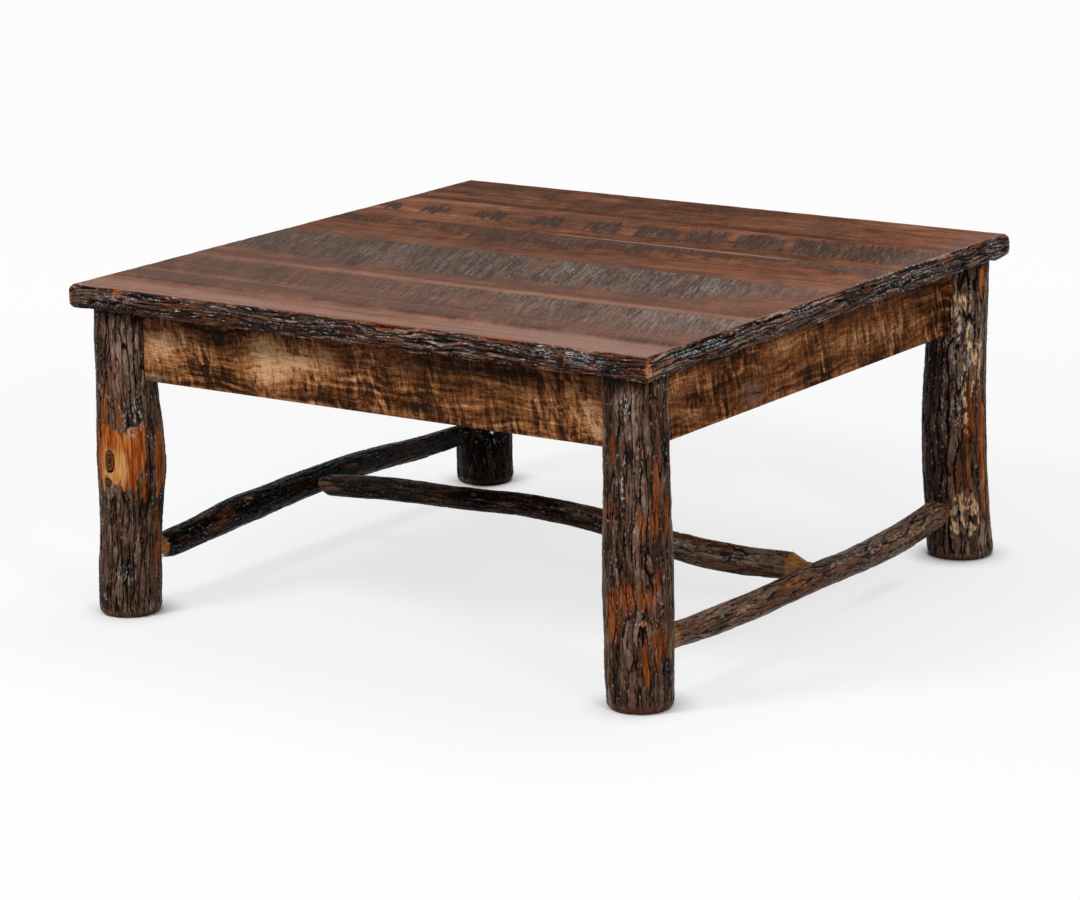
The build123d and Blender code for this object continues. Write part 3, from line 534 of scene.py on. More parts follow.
def makeEdge(name, seed):
    # a slice of a log carried along the side: an arc outside, a flat back inside, mitred at both ends
    look = SimpleNamespace(**{**edging, **eachEdge[name]})
    half, centre = (look.high - look.low) / 2, (look.low + look.high) / 2
    bulge = look.crown - look.strip
    arc = (half ** 2 + bulge ** 2) / (2 * bulge)
    open_ = math.asin(half / arc)
    t, turn = np.meshgrid(np.linspace(-1, 1, look.cellsAlong + 1), np.linspace(-open_, open_, look.cellsOver),
                          indexing="ij")
    along, over, wrap = t * look.crown, (turn + open_) * arc, look.cellsAround
    skin = barkSkin(over / look.ridgeWidth + 20, along / look.plateLength + 30, wrap, look, seed)
    lump = fractal(over / 30 + 9, along / 60 + 9, wrap // 2, seed + 70, 4)
    jag, level = 0.5 * (skin.own - 0.5), centre + arc * np.sin(turn)
    masks, drawn = drawMarks(look.marks, jag, lambda at, up: (along - at, level - up))
    height = skin.height + look.lumps * lump - look.sunk
    height = height * (1 - 0.7 * masks.peel) * (1 - 0.7 * masks.knot) + 0.8 * masks.knot
    calm, mitre = look.calmFrom, look.mitreFrom
    height = np.clip(height, -look.deepest, 0.0) * (1 - 0.6 * ease(np.abs(along), calm, mitre))
    height *= 1 - 0.85 * ease(turn, open_ - 0.28, open_)
    wave = look.bottomWave * (1 - ease(np.abs(along), calm, mitre + 2))
    wave = wave * (-0.15 + fractal(along / 45, np.zeros(t.shape) + 3.5, wrap, seed + 75, 4))
    out = look.crown - arc + (arc + height) * np.cos(turn)
    up = centre + (arc + height) * np.sin(turn) + wave * ease(-turn, open_ - 0.5, open_)
    up = np.minimum(up, look.high)
    # the sawn strip on top, the flat back and the underside close the section
    lowEdge, column = up[:, :1], np.ones((len(up), 1))
    outs = np.hstack([out, column * look.inner, column * look.inner, column * (look.strip - 1)])
    ups = np.hstack([up, column * look.high, lowEdge, lowEdge])
    spread = np.repeat(t[:, :1], outs.shape[1], 1)
    points = onSide(name, spread * np.minimum(outs, look.cornerSum - outs), outs, ups)
    # each end: the ring again as bare wood, then folded in to the mitre plane
    ends = []
    for end in (0, -1):
        folded = np.minimum(outs[end], look.cornerSum / 2)
        ends.append(onSide(name, np.sign(spread[end, 0]) * folded, folded, ups[end])[None])
    points = np.concatenate([ends[0], points[:1], points, points[-1:], ends[1]])

    def whole(values, closing, ending):
        # values on the arc, one value for the rest of the section, and one for the two rings at each end
        section = np.pad(values, ((0, 0), (0, 3)), constant_values=closing)
        return np.pad(section, ((2, 2), (0, 0)), constant_values=ending)

    speckle = ease(noise(over * 0.8 + 30, along * 0.4 + 400, wrap, seed + 98), 0.1, 0.5)
    # painted glints: pale specks on the beads and in the glint marks
    beadsAndGlints = np.maximum(look.wet * skin.beadsAndGlints, look.glazeShine * masks.glaze * speckle * (1 - skin.crack))
    arris = ease(turn, open_ - 0.09, open_)
    worn = look.worn * ease(noise(along / 38 + 30, over / 9, wrap, seed + 97), -0.3, 0.4)
    peel = np.maximum(masks.peel * (1 - 0.6 * masks.tan), arris * worn)
    peel = np.maximum(peel, look.arrisBare * ease(np.abs(along), mitre, mitre + 3))
    warm = np.clip(0.25 + 1.6 * fractal(over / 3.6 + 9, along / 32 + 40, wrap, seed + 95, 3), 0, 1)
    layers = {
        # the fourth bark value, at the two end rings, is a painted highlight on the mitre
        "bark": [whole(skin.crack * (1 - arris), 0, 0), whole(peel, look.arrisBare, 1),
                 whole(masks.tan, 0, 0), whole(np.zeros(t.shape), 0, look.mitreGold)],
        "tone": [whole(skin.tone + look.tone, 0.5, 0.5), whole(warm, 1, 1),
                 whole(knotRings(drawn, jag, 0), 0, 0), whole(np.clip(beadsAndGlints, 0, 1), 0, 0)],
        # the grain's last axis runs along the log
        "grain": points[..., [1, 2, 0] if name in ("front", "back") else [2, 0, 1]] * mm + seed,
    }
    addPiece("bark_edging_" + name, points, layers, edgeBark, "edge_log_" + name)


for order, name in enumerate(sides):
    makeEdge(name, 300 + 9 * order)
print("edging made")


poles = {
    "wander": 0.8, "wiggle": 0.2, "furrow": 0.22, "furrowDepth": 1.0, "plate": 0.5, "dome": 0.6, "tilt": 0.2,
    "check": 0.24, "fineDepth": 0.3, "wrinkle": 0.3, "checkInk": 0.7, "ridgeWidth": 9.0, "bead": 0.3,
    "plateLength": 55.0, "cellsRound": 88, "cellsAlong": 560, "mostOut": 0.6, "meanRadius": 18, "lumps": 0.9,
    "glazeShine": 0.7, "blotches": 0.45, "crackInk": 1.0, "lighterEnd": 0.0,
}
# What each pole has of its own: its bark starts and stops at two places, its shape is (place along, the two
# across, radius), shaved to a round tenon at both ends, and its marks are (place along, direction in degrees,
# half length, half width in mm)
eachPole = {
    "side_stretcher_left": {
        # painted shade: a low tone makes this pole nearly black all over
        "tone": -0.75, "bark": (-353, 366), "bareEnds": (0.9, 0.15),
        "shape": [(-402, -413, 75.5, 12.5), (-373, -413, 75.5, 12.5), (-334, -413, 75.5, 18.8),
                  (-289, -413, 78.2, 19.2), (-194, -414, 85.6, 21.8), (-94, -414, 89.5, 21),
                  (-20, -414, 92.4, 20), (146, -414, 91.8, 17.8), (242, -413, 86.5, 16.8),
                  (345, -413, 84, 15.6), (372, -413, 84, 12.5), (402, -413, 84, 12.5)],
        "marks": {"rust": [(-250, 80, 30, 6), (60, 60, 16, 5)], "tan": [(-180, 40, 12, 4)],
                  "glaze": [(-354, 60, 6, 7)]}},
    "side_stretcher_right": {
        # painted light: a high tone makes this pole lighter all over
        "tone": 0.44, "bark": (-343, 358), "bareEnds": (0.6, 0.3),
        "shape": [(-402, 413, 70, 12.5), (-372, 413, 70, 12.5), (-334, 413, 70, 16.8),
                  (-246, 414, 65.2, 17.9), (-103, 416, 62.8, 17.7), (5, 419, 65.6, 18.4),
                  (92, 417, 61.5, 18.2), (190, 414, 61, 19.5), (293, 412, 66.4, 19.9), (345, 410, 71.5, 19.2),
                  (365, 410, 71.5, 12.5), (402, 410, 71.5, 12.5)],
        "marks": {
            "tan": [(-240, 30, 18, 4), (-200, 62, 16, 4), (-140, 38, 14, 4), (40, 50, 18, 4),
                    (210, 50, 20, 5), (150, 45, 22, 6), (260, 60, 26, 7), (320, 30, 12, 6)],
            "rust": [(-300, 70, 30, 6), (-66, 50, 44, 15), (-180, 90, 40, 7), (60, 70, 26, 6)],
            "peel": [(-68, 48, 19, 12)], "knot": [(-72, 44, 5, 4)],
            "glaze": [(100, 45, 60, 3), (-250, 55, 50, 3)]}},
    "centre_stretcher": {
        # painted light: the tone rises towards the right end of this pole
        "tone": 0.0, "bark": (-391, 378), "bareEnds": (0.12, 0.9), "crackInk": 0.65, "lighterEnd": 0.42,
        "shape": [(-424, -15, 91.5, 9), (-393.5, -15, 91.5, 9), (-378, -15, 91.5, 15.6),
                  (-297, -14, 98, 16.7), (-128, -12, 102.5, 15.8), (-31, -10, 105.5, 16.5),
                  (87, -5, 97.5, 17.4), (200, 0, 78.5, 18.9), (293, 6, 70.8, 20), (377, 10, 72.8, 18.6),
                  (400.5, 10, 68.5, 9), (424, 10, 68.5, 9)],
        "marks": {
            "rust": [(120, 95, 70, 9), (240, 100, 60, 8), (-200, 95, 60, 7), (300, 200, 40, 6)],
            "tan": [(190, 170, 30, 4), (330, 175, 24, 5)], "peel": [(60, 130, 4, 3), (-120, 140, 3, 3)],
            "glaze": [(250, 152, 100, 6), (60, 146, 50, 3)]}},
}


def makePole(name, seed):
    # rings round a smooth curved line, bark between the shaved ends
    look = SimpleNamespace(**{**poles, **eachPole[name]})
    knots = np.array(look.shape, float)
    turn = 2 * math.pi * np.arange(look.cellsRound) / look.cellsRound
    along, turn = np.meshgrid(np.linspace(knots[0, 0], knots[-1, 0], look.cellsAlong + 1), turn, indexing="ij")
    body = knots[2:-2]
    across = smoothAlong(body[:, :3], along)
    radius = smoothAlong(body[:, [0, 3]], along)[..., 0]
    # past the body the pole narrows in a straight cone to the tenon's radius
    radius = np.where(along < body[0, 0], np.interp(along, knots[:3, 0], knots[:3, 3]), radius)
    radius = np.where(along > body[-1, 0], np.interp(along, knots[-3:, 0], knots[-3:, 3]), radius)
    low, high = look.bark
    shaved = np.maximum(1 - ease(along, low - 2, low + 2), ease(along, high - 2, high + 2))
    wrap = 4 * round(2 * math.pi * look.meanRadius / look.ridgeWidth / 4)
    a, b = turn / (2 * math.pi) * wrap, along / look.plateLength + 20
    skin = barkSkin(a, b, wrap, look, seed)
    lump = fractal(a / 4, b * 1.2, wrap // 4, seed + 70, 3)
    reach = radius + np.minimum(skin.height + look.lumps * lump, look.mostOut) * (1 - shaved)
    first, second = across[..., 0], across[..., 1]
    if name == "centre_stretcher":
        points = np.stack([along, first + reach * np.cos(turn), second + reach * np.sin(turn)], -1)
        grain = points[..., [1, 2, 0]]
    else:
        # z and then x across, so that the columns still run anticlockwise
        points = np.stack([first + reach * np.sin(turn), along, second + reach * np.cos(turn)], -1)
        grain = points[..., [2, 0, 1]]
    masks = drawMarks(look.marks, 0.5 * (skin.own - 0.5),
                      lambda at, direction: (along - at, turnedFrom(turn, direction) * radius))[0]
    crumbs = fractal(a * 2, b * 9, wrap * 2, seed + 92, 3)
    crack = skin.crack * (1 - shaved) * look.crackInk
    speckle = ease(noise(a * 4, b * 9, wrap * 4, seed + 98), 0.15, 0.55)
    # painted glints: pale specks on the beads and in the glint marks
    beadsAndGlints = np.maximum(skin.beadsAndGlints * (1 - shaved), look.glazeShine * masks.glaze * speckle * (1 - crack))
    warm = 0.35 + 0.2 * look.tone + fractal(a / 2, b * 1.5, wrap // 2, seed + 95, 3) + masks.rust
    peel = np.maximum(shaved * np.where(along < 0, *look.bareEnds), np.maximum(masks.peel, 0.35 * masks.rust))
    # the tone, with painted light towards the end where a pole asks for it
    tone = skin.tone + look.tone + look.lighterEnd * ease(along, 60, 260)
    tone = np.clip(tone + look.blotches * fractal(a / 3, b * 0.9, wrap // 3, seed + 93, 3), 0, 1)
    layers = {
        "bark": [crack, peel, masks.tan * ease(crumbs, -0.15, 0.15), 0.5 * peel * shaved],
        "tone": [tone, np.clip(warm, 0, 1), 0.5 * masks.knot, beadsAndGlints],
        "grain": grain * mm + seed,
    }
    addPiece(name.replace("stretcher", "pole"), points, layers, poleBark, name)


for order, name in enumerate(eachPole):
    makePole(name, 500 + 11 * order)
print("poles made")


planks = {
    "edge": 455.2, "seams": (455.2, 302.0, 151.0, 0.0, -200.0, -455.2), "low": 428.4, "high": 457.0,
    "arris": 0.9, "cellLong": 1.85, "cellAcross": 3.6, "slant": 0.40, "relief": 0.45, "markWidth": 4.6,
    "markLength": 60.0, "thinWidth": 2.6, "thinLength": 45.0,
}


def plankMaterial():
    # Rough-sawn hardwood, wiped with a dark walnut stain and sealed satin: reddish brown where it is smooth,
    # grey and furry where the saw tore it, with thin slanting tooth marks.
    material, tree = newMaterial("stained rough-sawn planks")
    place = add(tree, "TexCoord").outputs["Object"]
    greyed, tornUp, light, _ = channels(tree, "sawn")
    tone, mark, pinkSheen, _ = channels(tree, "tone")
    turn = math.atan(planks["slant"])
    grain = pattern(tree, place, (110, 3.5, 50), detail=6, roughness=0.6, distortion=0.3)
    clouds = pattern(tree, place, (45, 28, 50), detail=4, shift=0.2, distortion=0.6)
    shade = add(tree, "Math", grain, clouds, operation="ADD")
    shade = add(tree, "Math", shade, 0.75, tone, operation="MULTIPLY_ADD")
    shade = add(tree, "MapRange", shade, 0.75, 1.75)
    smooth = add(tree, "ValToRGB", shade, ramp={
        0.0: "#2c150c", 0.3: "#4a2919", 0.55: "#6c422c", 0.8: "#8e5b40", 1.0: "#b67e5e"})
    marks = pattern(tree, place, (2.4, 46, 50), turn=turn, detail=4, roughness=0.62)
    stroke = add(tree, "Math", marks, 0.7, mark, operation="MULTIPLY_ADD")
    # hair-thin dark scratches of the saw
    cut = hairLines(tree, pattern(tree, place, (4.5, 60, 50), turn=turn, detail=2, shift=0.6), (0.004, 0.035))
    stroke = add(tree, "Math", cut, -0.26, stroke, operation="MULTIPLY_ADD")
    stroke = add(tree, "MapRange", stroke, 0.42, 1.2)
    rough = add(tree, "ValToRGB", stroke, ramp={
        0.0: "#372820", 0.3: "#524239", 0.5: "#655850", 0.7: "#746b66", 1.0: "#8b8381"})
    torn = add(tree, "ValToRGB", stroke, ramp={
        0.0: "#21140e", 0.35: "#3f2b22", 0.6: "#563f34", 0.8: "#625854", 1.0: "#827876"})
    # the pink coat is partly a painted sheen of the satin finish, and the pale coat holds a painted highlight
    # along a seam
    colour = coated(tree, smooth, [(tornUp, torn), (greyed, rough), (pinkSheen, "#94766b"), (light, "#c59c86")])
    furry = add(tree, "Math", marks, greyed, operation="MULTIPLY")
    height = add(tree, "Math", grain, 0.3, furry, operation="MULTIPLY_ADD")
    dull = add(tree, "MapRange", stroke, 0, 1, 0.38, 0.62)
    return finishWood(material, colour, dull, 0.004, height, strength=0.5, deep=0.5)


topFinish = plankMaterial()
# Bands that the saw left on the top: each edge is a line of (x, y) knots, moved by ragged mm by the tooth marks
topBands = [
    {"kind": "grey", "back": [(-460, 0), (460, 0)], "ragged": (0, 34), "strength": 0.95,
     "front": [(-455, -140), (-345, -140), (-230, -160), (100, -150), (310, -138), (380, -92), (450, -60)]},
    {"kind": "grey", "back": [(-460, -230), (-100, -228), (0, -222), (460, -220)], "ragged": (8, 22),
     "strength": 0.62, "front": [(-455, -312), (-100, -322), (0, -328), (455, -346)]},
    {"kind": "grey", "back": [(-60, -222), (0, -218), (460, -216)], "ragged": (8, 30), "strength": 0.85,
     "front": [(-60, -224), (0, -262), (455, -286)]},
    {"kind": "torn", "back": [(-460, -326), (0, -338), (455, -362)], "ragged": (0, 28), "strength": 0.75,
     "front": [(-455, -372), (0, -378), (455, -396)]},
    {"kind": "torn", "back": [(-460, 150), (460, 150)], "ragged": (0, 52), "strength": 0.8,
     "front": [(-455, 140), (-270, 122), (-200, 72), (-60, 62), (30, 90), (250, 128), (330, 118), (455, 96)]},
    {"kind": "grey", "back": [(-60, 150), (460, 150)], "ragged": (0, 20), "strength": 0.4,
     "front": [(-60, 148), (30, 138), (330, 138), (400, 112), (455, 108)]},
]
tornRow = {  # a row of darker patches, each a little further forward and longer than the last
    "at": [-437, -352, -258, -158, -60, 30, 112, 200, 288, 372, 448], "wide": (24, 50), "top": (246, 292),
    "bottom": (208, 186), "ragged": 26, "centreLine": 225.0, "strength": 0.95,
}
# Slow changes over the top: how much, and the spans of x and y over which it comes in, all of which count
topTints = {
    "lightness": [
        (-0.12, ("y", -150, -170), ("y", -198, -190)), (0.12, ("y", 302, 297), ("y", 255, 300)),
        (0.06, ("y", -372, -402)), (-0.08, ("y", 90, -70), ("y", -385, -365)), (0.08, ("x", 250, 400)),
        (-0.12, ("y", 330, 400), ("x", 120, -40)), (0.14, ("x", -180, -320), ("y", 150, 160), ("y", 300, 290)),
        (0.08, ("x", 100, 300), ("y", 340, 400)), (0.08, ("x", 120, 280), ("y", -40, 10), ("y", 100, 60))],
    # a painted highlight along the arris of the back seam
    "backSeamHighlight": [(0.42, ("y", 150.2, 151.5), ("y", 156, 153), ("x", -140, -60), ("x", 310, 250))],
    "pinkFront": [(0.25, ("x", 0, 350))],
    "pinkMiddle": [(0.22, ("y", 90, -70), ("y", -385, -365))],
    "pinkRight": [(0.25, ("x", 380, 450), ("y", -150, 300))],
    "lessGrey": [(0.45, ("x", 280, 450), ("y", -150, -100))],
}
topKnot = {"x": -381, "y": 349, "halfLong": 9, "halfWide": 6, "darker": 0.3}
glueLine = {"back": [(-455, -322), (455, -360)], "strength": 0.12}  # a thin pale line in the front plank


def tint(name, x, y):
    # the sum of a tint's rows, each its amount times an ease over every one of its spans
    place = {"x": x, "y": y}
    return sum(amount * math.prod(ease(place[axis], start, end) for axis, start, end in spans)
               for amount, *spans in topTints[name])


def topZones(x, y):
    # where the saw tore the planks: grey bands and darker patches, then pale lines, which are a painted
    # highlight along the back seam's arris, a pale band below the front seam and a glue line, and the tone of it
    # all
    slantwise = x + planks["slant"] * y
    gap, own = plates(slantwise / planks["markWidth"] + 150, y / planks["markLength"] + 20, 512, 911)[:2]
    thin = plates(slantwise / planks["thinWidth"] + 300, y / planks["thinLength"] + 30, 1024, 921)[1]
    wave = fractal(slantwise / 40 + 40, y / 70 + 9, 128, 901, 4)
    masks = {"grey": np.zeros(x.shape), "torn": np.zeros(x.shape)}
    for band in topBands:
        start = np.interp(x, *np.transpose(band["back"])) - band["ragged"][0] * (own - 0.2) * (1 + wave)
        end = np.interp(x, *np.transpose(band["front"])) + band["ragged"][1] * (own - 0.5 + 0.4 * wave)
        inside = ease(start - y, -1, 3) * ease(y - end, -7, 9)
        masks[band["kind"]] = np.maximum(masks[band["kind"]], band["strength"] * inside)
    at, ragged = tornRow["at"], tornRow["ragged"]
    for middle in at:
        wide, top, bottom = (np.interp(middle, (at[0], at[-1]), tornRow[k]) for k in ("wide", "top", "bottom"))
        away = np.abs(slantwise - planks["slant"] * tornRow["centreLine"] - middle) / wide + 0.35 * (own - 0.5)
        tall = ease(y - bottom - ragged * (own - 0.6), -4, 8) * ease(top - y - ragged * (thin - 0.5), -3, 5)
        masks["torn"] = np.maximum(masks["torn"], tornRow["strength"] * (1 - ease(away, 0.7, 1.08)) * tall)
    # a few torn marks near the right corner
    corner = ease(x, 405, 440) * ease(y - 318 - 30 * own, 0, 30) * ease(415 - 40 * own - y, 0, 20)
    masks["torn"] = np.maximum(masks["torn"], corner * ease(own, 0.55, 0.7))
    masks["grey"] *= 1 - 0.5 * ease(noise(slantwise / 11 + 60, y / 120 + 9, 256, 931), 0.45, 0.75)
    masks["grey"] *= 1 - tint("lessGrey", x, y)
    edges = 1 - ease(gap, 0.0, 0.22)
    plain = 1 - 0.4 * ease(-x, -50, 350)  # the marks are fainter towards the left
    mark = 0.4 + 0.1 * plain + plain * (0.22 * (own - 0.5) + 0.3 * (thin - 0.5) - 0.3 * edges) + 0.14 * wave
    mark += 0.00015 * x - 0.04 + 0.00025 * x * ease(-200 - y, 0, 10)  # and darker there, most in the front plank
    frontSeam = 0.4 * ease(-200.5 - y, 0, 3) * ease(y + 223 + 4 * wave, 0, 8) * (0.55 + 0.45 * thin)
    frontSeam *= 0.4 + 0.6 * ease(x, -350, -50)
    line = np.abs(y - np.interp(x, *np.transpose(glueLine["back"])) - 3 * wave)
    # a painted highlight along the back seam's arris, a pale band below the front seam and a pale glue line
    light = np.maximum(frontSeam * 0.6, tint("backSeamHighlight", x, y))
    light = np.maximum(light, glueLine["strength"] * (1 - ease(line, 0.6, 3.0)))
    streak = fractal(x / 210 + 9, y / 7 + 30, 128, 941, 3)
    # a pinkish pale coat in the front plank, partly a painted sheen of the satin finish
    pinkSheen = (0.52 + 0.5 * streak + tint("pinkFront", x, y)) * ease(-372 - y + 14 * wave, 0, 40)
    pinkSheen += tint("pinkRight", x, y) + tint("pinkMiddle", x, y) * (1 - masks["grey"])
    lightness = 0.5 + 0.1 * wave + tint("lightness", x, y)
    # a dark band along the seam of the plank at the back, and a dark knot in the same plank
    lightness -= 0.16 * ease(330 + 8 * wave - y, 0, 12) * ease(y, 302, 306)
    offX, offY = (x - topKnot["x"]) / topKnot["halfLong"], (y - topKnot["y"]) / topKnot["halfWide"]
    lightness -= topKnot["darker"] * np.exp(-offX ** 2 - offY ** 2)
    return masks["grey"], masks["torn"], light, lightness, np.clip(mark, 0, 1), np.clip(pinkSheen, 0, 0.85)


def makePlank(order, seed):
    # the plank's section, an arris on each top edge, carried along x; the top dips where the saw tore it
    look = SimpleNamespace(**planks)
    r, low, high = look.arris, look.low, look.high
    back, front = look.seams[order:order + 2]
    columns = np.arange(back - r, front + r, -look.cellAcross)
    across = np.concatenate([[front, front, back, back, back - 0.25], columns, [front + r, front + 0.25]])
    level = np.full(across.shape, high)
    level[:5], level[-1] = (high - r, low, low, high - r, high - 0.3), high - 0.3
    rows = np.linspace(-look.edge, look.edge, round(2 * look.edge / look.cellLong) + 1)
    x, y = np.meshgrid(rows, across, indexing="ij")
    grey, torn, light, lightness, mark, pinkSheen = topZones(x, y)
    wavy = fractal(x / 150 + 9, y / 26 + 30, 64, seed + 5, 4)
    dip = look.relief * (1 - mark) * np.maximum(grey, 0.7 * torn) + 0.14 * (0.5 - 0.5 * wavy)
    top = np.arange(len(across)) >= 4
    points = np.stack([x, y, level - dip * top], -1)
    streaky = fractal(x / 190 + 9, y / 6 + 30, 128, seed + 6, 3)
    tone = lightness + 0.17 * wavy + 0.16 * streaky + 0.06 * np.random.default_rng(seed).uniform(-1, 1)
    layers = {"sawn": [grey, torn, light], "tone": [np.clip(tone, 0, 1), mark, pinkSheen]}
    number = str(order + 1)
    addPiece("sawn_plank_" + number, points, layers, topFinish, "top_plank_" + number)


for order in range(len(planks["seams"]) - 1):
    makePlank(order, 700 + 13 * order)
print("planks made")


aprons = {
    "inner": 399.5, "outer": 421.5, "low": 327.0, "high": 428.4, "arris": 0.8, "cell": 1.75, "relief": 0.7,
    "tenonThick": 10.0, "tenonSpan": (368.0, 418.0), "shoulder": (389.5, 392.5), "tip": (404.0, 407.0),
    "topShadow": (392, 426), "contourSpacing": 9.0,
}
# What each apron has of its own: its lighter and darker areas are (place along, height, half length, half height
# in mm, how much lighter), and its grey ones are the same without the last
eachApron = {
    "front": {
        "tone": 0.34, "contour": 0.06, "grey": [(347, 336, 20, 14), (-225, 405, 25, 14)],
        "areas": [(335, 385, 62, 34, 0.65), (150, 376, 60, 34, 0.9), (75, 386, 42, 26, 0.55),
                  (-345, 366, 48, 30, 0.6), (245, 345, 60, 24, -0.45), (262, 412, 40, 22, -0.45),
                  (20, 350, 90, 26, -0.2), (-150, 372, 110, 40, -0.12), (-240, 400, 50, 20, -0.25),
                  (-60, 385, 40, 20, 0.15)]},
    "right": {
        "tone": 0.35, "contour": 0.035, "grey": [(155, 350, 42, 26), (385, 345, 20, 18)],
        "areas": [(325, 400, 45, 18, 0.45), (70, 398, 62, 22, 0.5), (-130, 366, 125, 24, 0.3),
                  (250, 365, 90, 36, -0.1), (-330, 372, 60, 50, -0.3), (0, 345, 60, 22, -0.3),
                  (150, 410, 60, 18, -0.25)]},
    "back": {"tone": 0.32, "contour": 0.06, "grey": [],
             "areas": [(-200, 380, 80, 30, 0.5), (120, 370, 90, 30, 0.3), (320, 390, 60, 30, -0.3)]},
    "left": {"tone": 0.32, "contour": 0.05, "grey": [(60, 350, 30, 20)],
             "areas": [(180, 380, 80, 30, 0.4), (-120, 370, 90, 30, 0.3), (-320, 390, 60, 30, -0.3)]},
}


def apronMaterial(name, ramp, shine, toothed, veined):
    # The same stain on rough-sawn poplar: golden where the figure catches the light, nearly black in the deep
    # tooth marks, with a satin seal.
    material, tree = newMaterial(name)
    grain = add(tree, "Attribute", attribute_name="grain").outputs["Vector"]
    figure, greyed, _, _ = channels(tree, "figure")
    fibres = pattern(tree, grain, (24, 24, 1.9), detail=5, roughness=0.65, distortion=2.0)
    teeth = pattern(tree, grain, (1.6, 1.6, 20), detail=4, roughness=0.65, shift=0.4)
    shade = add(tree, "Math", teeth, toothed, figure, operation="MULTIPLY_ADD")
    shade = add(tree, "Math", fibres, veined, shade, operation="MULTIPLY_ADD")
    # hair-thin dark cuts, first lengthways and then upright, each only in its own places
    for size, deep, low in (((26, 26, 3.2), -0.26, 0.35), ((3.4, 3.4, 34), -0.34, 0.5)):
        cut = hairLines(tree, pattern(tree, grain, size, detail=2, distortion=0.8, shift=0.6), (0.004, 0.03))
        strong = pattern(tree, grain, (18, 18, 16), detail=2, shift=low)
        strong = add(tree, "MapRange", strong, low + 0.02, low + 0.12)
        cut = add(tree, "Math", cut, strong, operation="MULTIPLY")
        shade = add(tree, "Math", cut, deep, shade, operation="MULTIPLY_ADD")
    shade = add(tree, "MapRange", shade, 0.45, 1.27)
    colour = coated(tree, add(tree, "ValToRGB", shade, ramp=ramp), [(greyed, "#6f625b")])
    dull = add(tree, "MapRange", shade, 0, 1, 0.5, 0.28)
    return finishWood(material, colour, dull, shine, fibres, strength=0.5, deep=0.5)


goldenApron = apronMaterial("stained golden apron", {
    0.0: "#0d0603", 0.25: "#321b0d", 0.45: "#683d20", 0.62: "#8f5b34", 0.8: "#b98053", 1.0: "#dcae83"},
    shine=0.03, toothed=0.5, veined=0.66)
brownApron = apronMaterial("stained brown apron", {
    0.0: "#0d0603", 0.25: "#301a0d", 0.45: "#643818", 0.62: "#8b522c", 0.8: "#b67d50", 1.0: "#dca97e"},
    shine=0.012, toothed=0.4, veined=0.74)


